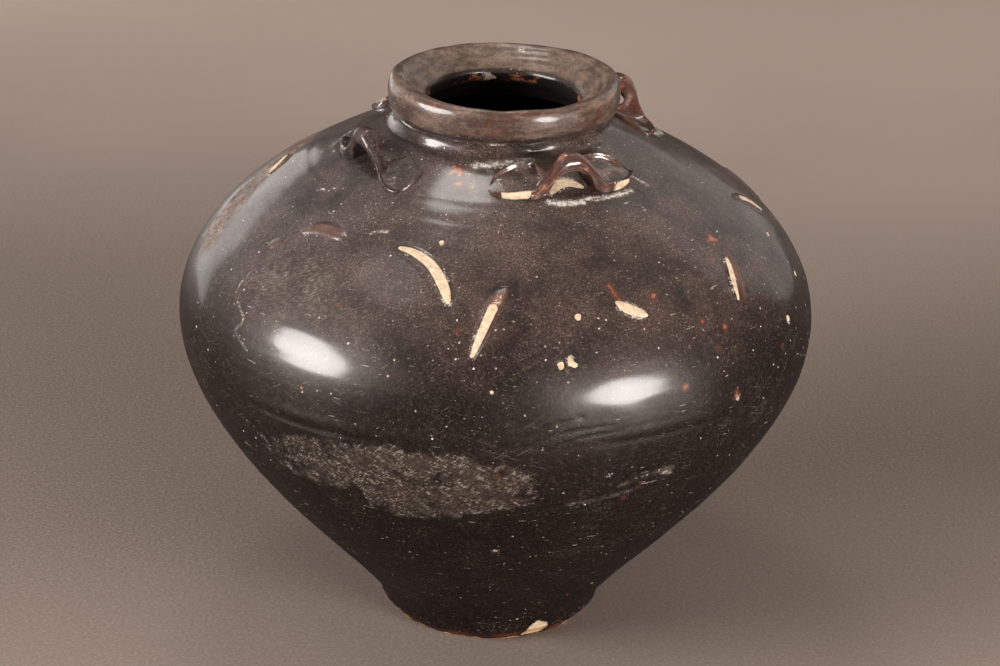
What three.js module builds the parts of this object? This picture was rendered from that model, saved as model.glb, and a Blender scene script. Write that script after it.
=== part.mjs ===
// A glazed stoneware storage jar: a slab base, the two halves of a round body, a heavy collar
// with a dished rim, and four loop lugs on the shoulder, each a separately made piece of clay.
// Millimetres, +Z up. The origin is the centre of the underside, which stands on the ground.
// A bearing is measured in degrees from -Y, the front, towards +X.

import * as THREE from 'three';

// Body outline, as radii and heights of the outer surface
const footRadius = 71;
const slabRadius = 78;
const slabThickness = 8;
const bellyRadius = 215;
const bellyHeight = 222;
const openingRadius = 60;
const openingHeight = 361;
// How the outline leaves the slab and reaches the opening, in degrees from upright and level
const waistLean = 6;
const shoulderSlope = 23;
// Lengths of the outline's straight pulls at the slab, below and above the belly, and at the opening
const waistPull = 30;
const lowerBellyPull = 82;
const upperBellyPull = 73;
const shoulderPull = 70;

// Clay thickness, the seam between the halves, and the slip gap left in every joint
const wall = 8.5;
const floorRise = 4;
const seamHeight = 214;
const lapHeight = 8;
const jointGap = 0.3;

// Collar and rim
const collarRadius = 69;
const neckHeight = 8.4;
const neckFlare = 3.3;
const rimRadius = 76.8;
const rimHeight = 21.6;
const rimWidestRise = 12;
const crestInset = 3.8;
const throatRadius = 50.5;
const throatDepth = 17.3;
const lipRounding = 4;

// Lugs: a rolled coil whose ends are pressed out into hollow leaves
const coilRadius = 6.5;
const coilEndRadius = 3.2;
const coilSink = 1;
const leafThickness = 2;
const leafEdgeRise = 1.6;
const leafEdgeInset = 2;
const leafEdgeWidth = 1.9;
const leafToCollar = 11;
const leafUp = 17.5;
const leafDown = 14;
const leafTip = 5;
const leafAngle = 30;
// The left lug turns through less. Its far leaf rises less up the slope, and its near leaf hangs lower.
const leftLugAngle = 27;
const farLeafShare = 0.6;
const nearLeafShare = 1.4;
// Shares of the half span: the leaf's blunt end begins, the coil stands clear, the coil has landed
const leafRoundsAt = 0.55;
const archClearTo = 0.2;
const archJoinsAt = 0.34;
const archLandsAt = 0.46;

// A curve's pull as a share of the way to its corner, close to that of a circle
const roundPull = 0.55;

// Fineness of the faceted surfaces
const turnSteps = 56;
const lugSteps = 26;
const lugSides = 16;

const glaze = { color: 0x4a4039, roughness: 0.32, metalness: 0 };
const rimGlaze = { color: 0x5c534b, roughness: 0.5, metalness: 0 };
const lugGlaze = { color: 0x5a3a31, roughness: 0.3, metalness: 0 };
const bareClay = { color: 0x8a7358, roughness: 0.85, metalness: 0 };

const radians = THREE.MathUtils.degToRad;
const smooth = THREE.MathUtils.smoothstep;
const lerp = THREE.MathUtils.lerp;
const point = (radius, height) => new THREE.Vector2(radius, height);

// The body's outer outline from the slab's upper edge to the opening, upright at the belly.
function bodyOutline() {
  const start = point(slabRadius, slabThickness);
  const lean = radians(waistLean);
  const waist = point(Math.sin(lean), Math.cos(lean)).multiplyScalar(waistPull).add(start);
  const belly = point(bellyRadius, bellyHeight);
  const end = point(openingRadius, openingHeight);
  const slope = radians(shoulderSlope);
  const shoulder = point(Math.cos(slope), -Math.sin(slope)).multiplyScalar(shoulderPull).add(end);
  const path = new THREE.CurvePath();
  path.add(new THREE.CubicBezierCurve(start, waist, point(bellyRadius, bellyHeight - lowerBellyPull), belly));
  path.add(new THREE.CubicBezierCurve(belly, point(bellyRadius, bellyHeight + upperBellyPull), shoulder, end));
  return path;
}

const outline = bodyOutline();
const outlineLength = outline.getLength();

// A point of the outline by its share of the length, moved out along the normal.
function onBody(share, outwards = 0) {
  const along = outline.getTangent(share);
  return outline.getPoint(share).add(point(along.y, -along.x).multiplyScalar(outwards));
}

// The share of the outline's length at which a measure that grows along it reaches a value.
function shareWhere(measure, value) {
  let low = 0;
  let high = 1;
  while (high - low > 1e-6) {
    const middle = (low + high) / 2;
    if (measure(onBody(middle)) < value) low = middle;
    else high = middle;
  }
  return low;
}

const shareAtBelly = outline.getCurveLengths()[0] / outlineLength;
const shareAtHeight = (height) => shareWhere((place) => place.y, height);
const shareAtCollar = shareWhere((place) => (place.y < bellyHeight ? -bellyRadius : -place.x), -collarRadius);

// Evenly spaced points of the outline. The one nearest the belly is moved to its widest point.
function bodyCurve(fromShare, toShare, steps, outwards = 0) {
  const halfStep = Math.abs(toShare - fromShare) / steps / 2;
  const places = [];
  for (let i = 0; i <= steps; i++) {
    const even = lerp(fromShare, toShare, i / steps);
    const atBelly = i > 0 && i < steps && Math.abs(even - shareAtBelly) < halfStep;
    places.push(onBody(atBelly ? shareAtBelly : even, outwards));
  }
  return places;
}

// A closed outline, listed upwards on its outer side, turned about the Z axis.
function turned(places) {
  const geometry = new THREE.LatheGeometry([...places, places[0]], turnSteps);
  return geometry.rotateX(Math.PI / 2);
}

function named(name, geometry, look) {
  const mesh = new THREE.Mesh(geometry, new THREE.MeshStandardMaterial(look));
  mesh.name = name;
  return mesh;
}

// The slab: its rim carries the wall, and its floor stands up inside the wall to centre it.
function baseSlab() {
  const floorRadius = slabRadius - wall - jointGap;
  const floorHeight = slabThickness + floorRise;
  const places = [
    point(0, 0), point(footRadius, 0), point(slabRadius, slabThickness),
    point(floorRadius, slabThickness), point(floorRadius, floorHeight), point(0, floorHeight),
  ];
  return turned(places);
}

// The two halves meet in a lap: the lower one's tongue stands inside the upper one's skirt.
const tongueRadius = onBody(shareAtHeight(seamHeight)).x - (wall + jointGap) / 2;
const skirtBottom = seamHeight - lapHeight / 2;
const tongueTop = seamHeight + lapHeight / 2;

function lowerBody() {
  const foot = slabThickness + jointGap;
  const outer = bodyCurve(shareAtHeight(foot), shareAtHeight(skirtBottom), 12);
  const inner = bodyCurve(shareAtHeight(tongueTop), 0, 12, -wall);
  inner[0].y = tongueTop;
  inner[inner.length - 1].set(slabRadius - wall, foot);
  const lap = [point(tongueRadius, skirtBottom), point(tongueRadius, tongueTop)];
  return turned([...outer, ...lap, ...inner]);
}

function upperBody() {
  const outer = bodyCurve(shareAtHeight(skirtBottom + jointGap), 1, 14);
  const inner = bodyCurve(1, shareAtHeight(tongueTop + jointGap), 11, -wall);
  inner[inner.length - 1].y = tongueTop + jointGap;
  const innerLap = tongueRadius + jointGap;
  const lap = [point(innerLap, tongueTop + jointGap), point(innerLap, skirtBottom + jointGap)];
  return turned([...outer, ...inner, ...lap]);
}

// The collar sits on the shoulder round the opening. Its rim rolls over outside a wide dish,
// which falls inwards to the lip of the throat.
function neckAndRim() {
  const seat = bodyCurve(1, shareAtCollar, 2, jointGap);
  const foot = seat[seat.length - 1];
  const hole = seat[0];
  const undercut = point(foot.x + neckFlare, foot.y + neckHeight);
  const widest = undercut.y + rimWidestRise;
  const crest = undercut.y + rimHeight;
  const crestRadius = rimRadius - crestInset;
  const lip = crest - throatDepth;
  const side = new THREE.Path();
  side.moveTo(foot.x, foot.y);
  side.quadraticCurveTo(foot.x, undercut.y - neckFlare, undercut.x, undercut.y);
  side.bezierCurveTo(lerp(undercut.x, rimRadius, roundPull), undercut.y + crestInset / 2,
    rimRadius, lerp(widest, undercut.y, roundPull), rimRadius, widest);
  side.bezierCurveTo(rimRadius, lerp(widest, crest, roundPull),
    lerp(crestRadius, rimRadius, roundPull), crest, crestRadius, crest);
  side.bezierCurveTo(crestRadius - lipRounding, crest,
    throatRadius, lip + lipRounding, throatRadius, lip);
  side.bezierCurveTo(throatRadius, lip - lipRounding,
    lerp(hole.x, throatRadius, roundPull), hole.y + lipRounding, hole.x, hole.y);
  return turned([...side.getPoints(4), ...seat.slice(1, -1)]);
}

// A lug is described on the shoulder: across in degrees of bearing, down the slope in
// millimetres from the lug's line, and up along the shoulder's normal.
const lugLine = shareAtCollar - (leafToCollar + leafUp) / outlineLength;

function onShoulder(bearing, down, up) {
  const place = onBody(lugLine - down / outlineLength, up + jointGap);
  const turn = radians(bearing);
  return new THREE.Vector3(place.x * Math.sin(turn), -place.x * Math.cos(turn), place.y);
}

// One cross-section, as [down, up] pairs: round at the arch, and further out a leaf lying on
// the shoulder with the coil along its lower edge. reach is the share of the half span.
function lugSection(reach, rise, leaf) {
  const landed = smooth(reach, 0, archLandsAt);
  const flat = smooth(reach, archClearTo, archJoinsAt);
  const beyond = Math.max(reach - leafRoundsAt, 0) / (1 - leafRoundsAt);
  const fullness = Math.sqrt(1 - beyond ** 2);
  const radius = lerp(coilRadius, coilEndRadius, landed);
  const halfWidth = radius * lerp(1, fullness, landed);
  const centreUp = lerp(rise, coilEndRadius - coilSink, landed);
  const centreDown = (lerp(leafTip, leaf.down, fullness) - radius * fullness) * landed;
  const coil = { down: centreDown, halfWidth, top: centreUp + radius };
  const low = centreDown + halfWidth;
  const high = lerp(centreDown - halfWidth, lerp(leafTip, -leaf.up, fullness), flat);
  const places = [];
  for (let i = 0; i < lugSides; i++) {
    const turn = (i / lugSides) * 2 * Math.PI;
    const down = lerp((low + high) / 2, low, Math.cos(turn));
    const onTop = i > 0 && i < lugSides / 2;
    const up = onTop ? leafHeight(down, high, coil) * fullness : 0;
    const coilDown = centreDown + radius * Math.cos(turn);
    const coilUp = centreUp + radius * Math.sin(turn);
    places.push([lerp(coilDown, down, flat), lerp(coilUp, up, flat)]);
  }
  return places;
}

// The leaf's height above the shoulder: a thin hollow sheet, an edge raised by the thumb along
// its upper side, and the coil along its lower side.
function leafHeight(down, high, coil) {
  const across = (down - coil.down) / coil.halfWidth;
  const swell = across > 0 ? Math.sqrt(Math.max(1 - across ** 2, 0)) : Math.exp(-(across ** 2));
  const edge = leafEdgeRise * Math.exp(-(((down - high - leafEdgeInset) / leafEdgeWidth) ** 2));
  const sheet = leafThickness + edge;
  const rounding = Math.sqrt(Math.min((down - high) / leafEdgeInset, 1));
  return lerp(sheet, coil.top, swell) * rounding;
}

function lug({ bearing, rise, left, right }) {
  const corners = [];
  const rings = lugSteps - 1;
  const tips = [onShoulder(bearing - left.angle, leafTip, 0), onShoulder(bearing + right.angle, leafTip, 0)];
  for (let i = 1; i <= rings; i++) {
    const across = Math.sin((i / lugSteps - 0.5) * Math.PI);
    const leaf = across < 0 ? left : right;
    for (const [down, up] of lugSection(Math.abs(across), rise, leaf)) {
      corners.push(onShoulder(bearing + across * leaf.angle, down, up));
    }
  }
  const faces = [];
  const first = corners.length;
  const last = first + 1;
  for (let side = 0; side < lugSides; side++) {
    const next = (side + 1) % lugSides;
    faces.push(first, side, next);
    for (let ring = 0; ring < rings - 1; ring++) {
      const here = ring * lugSides;
      const there = here + lugSides;
      faces.push(here + side, there + side, here + next, there + side, there + next, here + next);
    }
    const end = (rings - 1) * lugSides;
    faces.push(last, end + next, end + side);
  }
  const geometry = new THREE.BufferGeometry().setFromPoints([...corners, ...tips]);
  geometry.setIndex(faces);
  geometry.computeVertexNormals();
  return geometry;
}

// The lugs stand at about four quarters, set by eye, and no two are pressed alike.
const evenLeaf = { angle: leafAngle, up: leafUp, down: leafDown };
const lugs = {
  lug_front: { bearing: 26, rise: 17, left: evenLeaf, right: evenLeaf },
  lug_right: { bearing: 128, rise: 19, left: evenLeaf, right: evenLeaf },
  lug_back: { bearing: 210, rise: 18, left: evenLeaf, right: evenLeaf },
  lug_left: {
    bearing: -58, rise: 17,
    left: { angle: leftLugAngle, up: leafUp * farLeafShare, down: leafDown },
    right: { angle: leftLugAngle, up: leafUp, down: leafDown * nearLeafShare },
  },
};

const jar = new THREE.Group();
jar.add(named('base_slab', baseSlab(), bareClay));
jar.add(named('lower_body', lowerBody(), glaze));
jar.add(named('upper_body', upperBody(), glaze));
jar.add(named('neck_rim', neckAndRim(), rimGlaze));
for (const [name, shape] of Object.entries(lugs)) jar.add(named(name, lug(shape), lugGlaze));

export default jar;
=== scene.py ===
import math
import bpy
from mathutils import Matrix, Vector
import numpy as np


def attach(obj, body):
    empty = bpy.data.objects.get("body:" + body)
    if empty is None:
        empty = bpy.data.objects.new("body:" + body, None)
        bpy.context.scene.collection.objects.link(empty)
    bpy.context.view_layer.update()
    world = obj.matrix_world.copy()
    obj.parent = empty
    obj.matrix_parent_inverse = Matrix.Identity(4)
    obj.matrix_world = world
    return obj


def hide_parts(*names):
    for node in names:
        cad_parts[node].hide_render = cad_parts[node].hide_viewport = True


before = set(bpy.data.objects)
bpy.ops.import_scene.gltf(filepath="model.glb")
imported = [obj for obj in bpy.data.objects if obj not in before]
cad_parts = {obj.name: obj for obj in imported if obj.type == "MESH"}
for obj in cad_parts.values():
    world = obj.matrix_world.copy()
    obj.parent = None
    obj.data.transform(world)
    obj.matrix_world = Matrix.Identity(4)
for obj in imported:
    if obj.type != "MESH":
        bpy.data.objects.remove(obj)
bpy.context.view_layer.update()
print("frame loaded")

# Shapes are worked out in millimetres and stored in metres. A bearing is in degrees from -Y,
# the front, towards +X. A place on the body is a bearing and a length uphill from the slab.
metresPerMillimetre = 0.001


# General shapes and masks

def smoothStep(low, high, value):  # 3t^2 - 2t^3, with t running from 0 at low to 1 at high
    t = np.clip((value - low) / (high - low), 0, 1)
    return t * t * (3 - 2 * t)


def blend(a, b, share):
    return a + (b - a) * share


def bump(value, centre, width):  # the bell curve exp(-((value - centre) / width)^2)
    return np.exp(-((value - centre) / width) ** 2)


# Uneven handwork: the sum of cosine waves with seeded directions, lengths near size and phases,
# divided by the root of half their count, so that it varies by about 1 either way.
def unevenness(points, size, seed, count=20):
    chance = np.random.default_rng(seed)
    ways = chance.normal(size=(count, 3))
    ways /= np.linalg.norm(ways, axis=1)[:, None]
    ways *= 2 * math.pi / (size * chance.uniform(0.7, 1.5, count))[:, None]
    phases = chance.uniform(0, 2 * math.pi, count)
    total = np.zeros(points.shape[:-1])
    for way, phase in zip(ways, phases):
        total += np.cos(points @ way + phase)
    return total / math.sqrt(count / 2)


# A cubic Bezier curve: the corner points weighted by the Bernstein polynomials of t.
def bezier(corners, count):
    t = np.linspace(0, 1, count)[:, None]
    a, b, c, d = (np.array(corner, float) for corner in corners)
    return (1 - t) ** 3 * a + 3 * (1 - t) ** 2 * t * b + 3 * (1 - t) * t ** 2 * c + t ** 3 * d


def alongLength(points):  # running length of a polyline
    steps = np.linalg.norm(np.diff(points, axis=0), axis=1)
    return np.concatenate([[0], np.cumsum(steps)])


# A smooth curve through marks: a Catmull-Rom spline, each span a Hermite cubic whose end slopes
# are half the difference of the neighbours.
def throughMarks(marks, perSpan=8):
    marks = np.array(marks, float)
    slopes = np.gradient(marks, axis=0)
    t = np.linspace(0, 1, perSpan, endpoint=False)[:, None]
    spans = [
        marks[i] * (1 + 2 * t) * (1 - t) ** 2 + slopes[i] * t * (1 - t) ** 2
        + marks[i + 1] * t ** 2 * (3 - 2 * t) + slopes[i + 1] * t ** 2 * (t - 1)
        for i in range(len(marks) - 1)
    ]
    return np.concatenate([*spans, marks[-1:]])


def evenPoints(points, count):  # the same polyline with evenly spaced points
    lengths = alongLength(points)
    wanted = np.linspace(0, lengths[-1], count)
    return np.stack([np.interp(wanted, lengths, points[:, k]) for k in range(points.shape[1])], 1)


# The outward normal of a profile listed uphill on its outer side: its direction turned clockwise.
def profileNormals(points):
    ways = np.gradient(points, axis=0)
    ways /= np.linalg.norm(ways, axis=1)[:, None]
    return np.stack([ways[:, 1], -ways[:, 0]], 1)


def turnedPoints(radius, bearing, height):  # points of a turned form, at bearings in degrees
    turn = np.radians(bearing)
    return np.stack(np.broadcast_arrays(radius * np.sin(turn), -radius * np.cos(turn), height), -1)


# Masks of a block of points, each 0 to 1: the fields given, and nothing for the rest.
maskNames = ("clay", "rust", "scuff", "dull", "deposit", "dry", "throat")


def masksOf(shape, **fields):
    fields = {**dict.fromkeys(maskNames, 0.0), **fields}
    return {name: np.broadcast_to(np.clip(field, 0, 1), shape) for name, field in fields.items()}


# Meshes

# Quads of a grid of rows by columns. Either way may close on itself.
def gridFaces(rows, columns, closeRows, closeColumns):
    row = np.arange(rows if closeRows else rows - 1)[:, None]
    column = np.arange(columns if closeColumns else columns - 1)[None, :]
    nextRow = (row + 1) % rows
    nextColumn = (column + 1) % columns
    here, right = row * columns + column, row * columns + nextColumn
    above, across = nextRow * columns + column, nextRow * columns + nextColumn
    return np.stack([here, right, across, above], -1).reshape(-1, 4)


def capFaces(pole, ring, flip):  # triangles from a pole point to a closed ring
    follow = np.roll(ring, -1)
    poles = np.full(len(ring), pole)
    return np.stack([poles, follow, ring] if flip else [poles, ring, follow], -1)


def smoothMesh(name, points, faces, material):
    mesh = bpy.data.meshes.new(name)
    mesh.from_pydata(points.tolist(), [], faces)
    mesh.polygons.foreach_set("use_smooth", np.ones(len(mesh.polygons), bool))
    mesh.materials.append(material)
    return mesh


def newObject(name, data):
    thing = bpy.data.objects.new(name, data)
    bpy.context.scene.collection.objects.link(thing)
    return thing


# Makes one piece from points in millimetres and lists of faces, with its masks as attributes, and
# says which node it replaces. It is shaded smooth, but for edges that turn by more than sharpAngle
# degrees.
sharpAngle = 50


def addPiece(name, points, faces, masks, material, node):
    everyFace = sum((part.tolist() for part in faces), [])
    mesh = smoothMesh(name, points * metresPerMillimetre, everyFace, material)
    mesh.set_sharp_from_angle(angle=math.radians(sharpAngle))
    for mask, values in masks.items():
        attribute = mesh.attributes.new(mask, "FLOAT", "POINT")
        attribute.data.foreach_set("value", values.astype(np.float32))
    piece = newObject(name, mesh)
    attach(piece, "root")
    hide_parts(node)
    print(name, "has", sum(len(face) - 2 for face in everyFace), "triangles")


# Joins row blocks into one closed ring-shaped shell.
def addShell(name, blocks, masks, material, node):
    points = np.concatenate(blocks)
    faces = gridFaces(*points.shape[:2], True, True)
    whole = {mask: np.concatenate([part[mask] for part in masks]).reshape(-1) for mask in masks[0]}
    addPiece(name, points.reshape(-1, 3), [faces], whole, material, node)


# Closes a tube of rows with a pole point at either end, where every mask has the value given.
def addCapped(name, points, poles, endValues, masks, flip, material, node):
    rows, across = points.shape[:2]
    first = np.arange(across)
    last = first + (rows - 1) * across
    caps = [capFaces(rows * across, first, flip), capFaces(rows * across + 1, last, not flip)]
    whole = {mask: np.append(values.reshape(-1), endValues) for mask, values in masks.items()}
    everyPoint = np.concatenate([points.reshape(-1, 3), poles])
    addPiece(name, everyPoint, [gridFaces(rows, across, False, True), *caps], whole, material, node)


# The body's outline and its surface

body = {
    "slabRadius": 78, "slabHeight": 8, "bellyRadius": 215, "bellyHeight": 222,
    "openingRadius": 60, "openingHeight": 361, "waistLean": 6, "shoulderSlope": 23,
    "waistPull": 30, "lowerBellyPull": 82, "upperBellyPull": 73, "shoulderPull": 70,
    "wall": 8.5, "seamHeight": 214, "lap": 4,
    "inset": 1.2, "fingerRing": 3.1, "fingerDepth": 0.4,
    "columns": 620, "frontCrowding": 0.42, "upperRows": 140, "lowerRows": 112, "innerRows": 12,
    "crescentHeight": 298, "crescentReach": 38, "joinHeight": 231, "joinReach": 22, "rowCrowding": 1.2,
    "curvePoints": 500,
}


def bodyOutline():  # two Bezier curves that meet upright at the belly
    lean, slope = math.radians(body["waistLean"]), math.radians(body["shoulderSlope"])
    foot = np.array([body["slabRadius"], body["slabHeight"]])
    belly = np.array([body["bellyRadius"], body["bellyHeight"]])
    opening = np.array([body["openingRadius"], body["openingHeight"]])
    waist = foot + body["waistPull"] * np.array([math.sin(lean), math.cos(lean)])
    shoulder = opening + body["shoulderPull"] * np.array([math.cos(slope), -math.sin(slope)])
    low = bezier([foot, waist, belly - [0, body["lowerBellyPull"]], belly], body["curvePoints"])
    high = bezier([belly, belly + [0, body["upperBellyPull"]], shoulder, opening], body["curvePoints"])
    return np.concatenate([low, high[1:]])


outline = bodyOutline()
outlineLengths = alongLength(outline)
outlineNormals = profileNormals(outline)
outlineEnd = outlineLengths[-1]


def radiusAt(uphill):
    return np.interp(uphill, outlineLengths, outline[:, 0])


def uphillAt(height):
    return np.interp(height, outline[:, 1], outlineLengths)


# A point of the body, outwards millimetres off the smooth outline along its normal.
def onBody(bearing, uphill, outwards=0.0):
    normalR = np.interp(uphill, outlineLengths, outlineNormals[:, 0])
    normalZ = np.interp(uphill, outlineLengths, outlineNormals[:, 1])
    radius = radiusAt(uphill) + outwards * normalR
    height = np.interp(uphill, outlineLengths, outline[:, 1]) + outwards * normalZ
    return turnedPoints(radius, bearing, height)


# Distances from body places to a line of (bearing, height) marks, measured on the surface in
# millimetres, and the share of the way along the line at which each place lies.
def alongMarks(bearing, uphill, marks):
    line = throughMarks([(b, uphillAt(z)) for b, z in marks], 4)
    radius = radiusAt(line[:, 1].mean())
    middle = line[:, 0].mean()
    flat = np.stack([np.radians(line[:, 0] - middle) * radius, line[:, 1]], 1)
    lengths = alongLength(flat)
    x = np.radians((bearing - middle + 180) % 360 - 180) * radius
    nearest = np.full(x.shape, np.inf)
    share = np.zeros(x.shape)
    for i, way in enumerate(np.diff(flat, axis=0)):
        dx, dy = x - flat[i, 0], uphill - flat[i, 1]
        t = np.clip((dx * way[0] + dy * way[1]) / (way @ way), 0, 1)
        distance = np.hypot(dx - t * way[0], dy - t * way[1])
        closer = distance < nearest
        nearest = np.where(closer, distance, nearest)
        share = np.where(closer, (lengths[i] + t * np.hypot(*way)) / lengths[-1], share)
    return nearest, share


# A round place on the body: distances from its middle, in millimetres.
def aroundSpot(points, bearing, height):
    return np.linalg.norm(points - onBody(bearing, uphillAt(height)), axis=-1)


# A mask field for a mark of that half width: 0.5 at its edge, changing by 1 in maskFall.
maskFall = 6.0


def markField(halfWidth, distance):
    return 0.5 + (halfWidth - distance) / maskFall


# Half the width along a crescent: w/2 sqrt(1 - taper x^2), with x the distance from its fattest place as
# a share of the length on that side, so that both ends are drawn to a blunt point.
crescentForm = {
    "taper": 0.86, "domeReach": 1.3, "domePower": 1.2, "flatFrom": 0.7, "flatSlope": 0.3,
    "groove": 0.3, "grooveAt": 1.5, "grooveWidth": 1.6,
    "bareEdge": 0.06, "crustEdge": 0.12, "rustGain": 1.3,
}


def crescentHalfWidth(width, fatAt, share):
    x = np.where(share < fatAt, (fatAt - share) / fatAt, (share - fatAt) / (1 - fatAt))
    return width / 2 * np.sqrt(1 - crescentForm["taper"] * np.clip(x, 0, 1) ** 2)


# Crescents of clay pressed on round the shoulder. Each is a line of (bearing, height) marks, a
# width and a rise. It is worn to the clay over clayWidth from the share bareFrom onwards, and
# elsewhere wears a thin red-brown glaze. Flaky says how far a white crust clings to its end.
crescents = [
    {"marks": [(-24, 317.4), (-20, 316.4), (-15, 312.4), (-11.4, 305), (-9.6, 297.5)], "fatAt": 0.7,
     "width": 8.4, "rise": 1.3, "clayWidth": 6.6, "bareFrom": 0.0, "rust": 0.25, "flaky": 0.0},
    {"marks": [(2.0, 304), (-0.2, 298), (-2.3, 286), (-4, 273)], "fatAt": 0.25,
     "width": 9.0, "rise": 1.2, "clayWidth": 5.8, "bareFrom": 0.24, "rust": 0.62, "flaky": 0.62},
    {"marks": [(24.6, 295.5), (26.4, 292), (29.8, 287.5)], "fatAt": 0.45,
     "width": 8.6, "rise": 1.1, "clayWidth": 7.0, "bareFrom": 0.0, "rust": 0.2, "flaky": 0.0},
    {"marks": [(57.7, 301), (56.0, 295), (54.2, 288.5), (52.7, 280.5)], "fatAt": 0.4,
     "width": 6.4, "rise": 1.6, "clayWidth": 4.2, "bareFrom": 0.05, "rust": 0.3, "flaky": 0.0},
    {"marks": [(59.3, 301), (57.7, 294), (56.0, 287.5), (54.1, 278.5)], "fatAt": 0.4,
     "width": 6.4, "rise": 0.6, "clayWidth": 0, "bareFrom": 1.0, "rust": 0.58, "flaky": 0.0},
    {"marks": [(-52, 311.5), (-49, 315), (-45, 316.5), (-40, 315.5)], "fatAt": 0.6,
     "width": 9.4, "rise": 1.8, "clayWidth": 0, "bareFrom": 1.0, "rust": 0.45, "flaky": 0.4},
    {"marks": [(-57.6, 299), (-55.6, 305)], "fatAt": 0.5,
     "width": 6, "rise": 1.2, "clayWidth": 0, "bareFrom": 1.0, "rust": 0.52, "flaky": 0.4},
    {"marks": [(18.4, 341.8), (22, 344.4), (27, 344.8), (31, 342.6)], "fatAt": 0.5,
     "width": 9, "rise": 0.5, "clayWidth": 7.6, "bareFrom": 0.0, "rust": 0.2, "flaky": 0.0},
    {"marks": [(-98, 320), (-94, 318.4), (-90, 314)], "fatAt": 0.5,
     "width": 8, "rise": 1.6, "clayWidth": 5.4, "bareFrom": 0.1, "rust": 0.6, "flaky": 0.3},
    {"marks": [(84, 312), (88, 306), (90, 297)], "fatAt": 0.6,
     "width": 8, "rise": 1.4, "clayWidth": 5.2, "bareFrom": 0.2, "rust": 0.3, "flaky": 0.0},
    {"marks": [(113, 301), (112, 292), (108, 284)], "fatAt": 0.4,
     "width": 7, "rise": 1.5, "clayWidth": 3.6, "bareFrom": 0.3, "rust": 0.6, "flaky": 0.5},
    {"marks": [(139, 314), (144, 310), (147, 302)], "fatAt": 0.65,
     "width": 9, "rise": 1.5, "clayWidth": 6.4, "bareFrom": 0.0, "rust": 0.2, "flaky": 0.0},
    {"marks": [(171, 305), (170, 296), (167, 287)], "fatAt": 0.4,
     "width": 7.4, "rise": 1.4, "clayWidth": 4.6, "bareFrom": 0.25, "rust": 0.5, "flaky": 0.4},
    {"marks": [(199, 314), (204, 311.5), (208, 304)], "fatAt": 0.6,
     "width": 9.4, "rise": 2.0, "clayWidth": 0, "bareFrom": 1.0, "rust": 0.7, "flaky": 0.0},
    {"marks": [(232, 306), (231, 297), (228, 288)], "fatAt": 0.35,
     "width": 7.6, "rise": 1.4, "clayWidth": 5.4, "bareFrom": 0.1, "rust": 0.4, "flaky": 0.2},
]

# Round spots as (bearing, height, radius). Chips go down to the clay. Thin spots are red-brown at
# their edge, and orange in the middle where they are wide.
clayChips = [
    (13.4, 269.3, 3.0), (11.6, 268.6, 2.6), (16, 291.4, 2.0), (66, 254.9, 2.4), (79, 267.6, 1.7),
    (-0.4, 254.2, 1.2), (1.0, 124.3, 1.8), (46, 226.7, 1.0), (-14.2, 322, 1.5), (20.5, 193, 1.4),
    (80.5, 292, 1.8), (104, 240, 3.2), (131, 262, 2.2), (158, 231, 2.6), (183, 275, 2.4),
    (219, 250, 3.2), (247, 228, 2.0), (266, 262, 2.4), (150, 120, 2.6), (240, 150, 2.0),
]
thinSpots = [
    (-17.8, 349.4, 5.2), (-14.3, 344.6, 4.2), (34, 245.5, 2.4), (45.6, 229, 2.8), (-7.0, 285.8, 2.2),
    (33, 295, 2.6), (57.6, 309, 4.6), (1, 198.1, 2.0), (27, 179.2, 1.5), (24.5, 170.6, 1.5),
    (-31.6, 288, 1.6), (41.5, 278, 2.2), (46, 271, 2.4), (43, 262, 1.6), (61, 243, 1.8),
    (96, 285, 5.0), (121, 233, 3.4), (152, 275, 3.6), (187, 248, 3.2), (215, 280, 4.0), (262, 243, 3.2),
]

# Crusts of lime and flaky white lines, as lines of marks with their reach and amount.
limeLines = [
    {"marks": [(-11, 352.0), (-5, 352.6), (5, 353.4), (14, 354.2)], "reach": 5.5, "amount": 0.8},
    {"marks": [(-14, 349), (-10, 345), (-8, 341.5)], "reach": 5, "amount": 0.6},
    {"marks": [(-4, 350), (-1, 346.5), (1, 343)], "reach": 4.5, "amount": 0.6},
    {"marks": [(17, 338.6), (22, 337.4), (28, 337.4)], "reach": 3.8, "amount": 1.0},
    {"marks": [(29, 338.2), (38, 337.2), (48, 337.0)], "reach": 2.8, "amount": 0.95},
    {"marks": [(52, 345), (55, 340.5), (56.5, 336.5)], "reach": 2.2, "amount": 0.8},
    {"marks": [(44, 356), (52, 355.4), (60, 352)], "reach": 5, "amount": 0.55},
    {"marks": [(104, 340), (116, 333), (130, 331)], "reach": 5, "amount": 0.85},
    {"marks": [(190, 336), (206, 332), (222, 335)], "reach": 4, "amount": 0.75},
    {"marks": [(-86, 338), (-96, 344)], "reach": 4, "amount": 0.6},
    {"marks": [(-33.5, 320.6), (-31.5, 322), (-29.5, 322.6)], "reach": 2.0, "amount": 0.75},
    {"marks": [(-61.5, 327.6), (-60, 328.4)], "reach": 1.3, "amount": 0.9},
    {"marks": [(-58, 329.8), (-56.6, 330.8)], "reach": 1.3, "amount": 0.9},
    {"marks": [(-57, 285), (-57.4, 273), (-54.5, 268), (-51.5, 262), (-52.5, 254), (-48, 247)],
     "reach": 1.5, "amount": 0.7},
    {"marks": [(-32.6, 346), (-33.6, 338), (-34.4, 331)], "reach": 1.6, "amount": 0.5},
    {"marks": [(23, 184), (27, 188), (33, 190)], "reach": 4, "amount": 0.5},
    {"marks": [(14, 172), (20, 174), (26, 177)], "reach": 4, "amount": 0.45},
    {"marks": [(31, 186.5), (33, 185)], "reach": 1.8, "amount": 0.8},
    {"marks": [(-90, 196), (-86, 160), (-82, 120), (-78, 84), (-74, 60)], "reach": 4, "amount": 0.5},
]
collarLime = {"height": 355, "reach": 5, "amount": 0.34}
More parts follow.
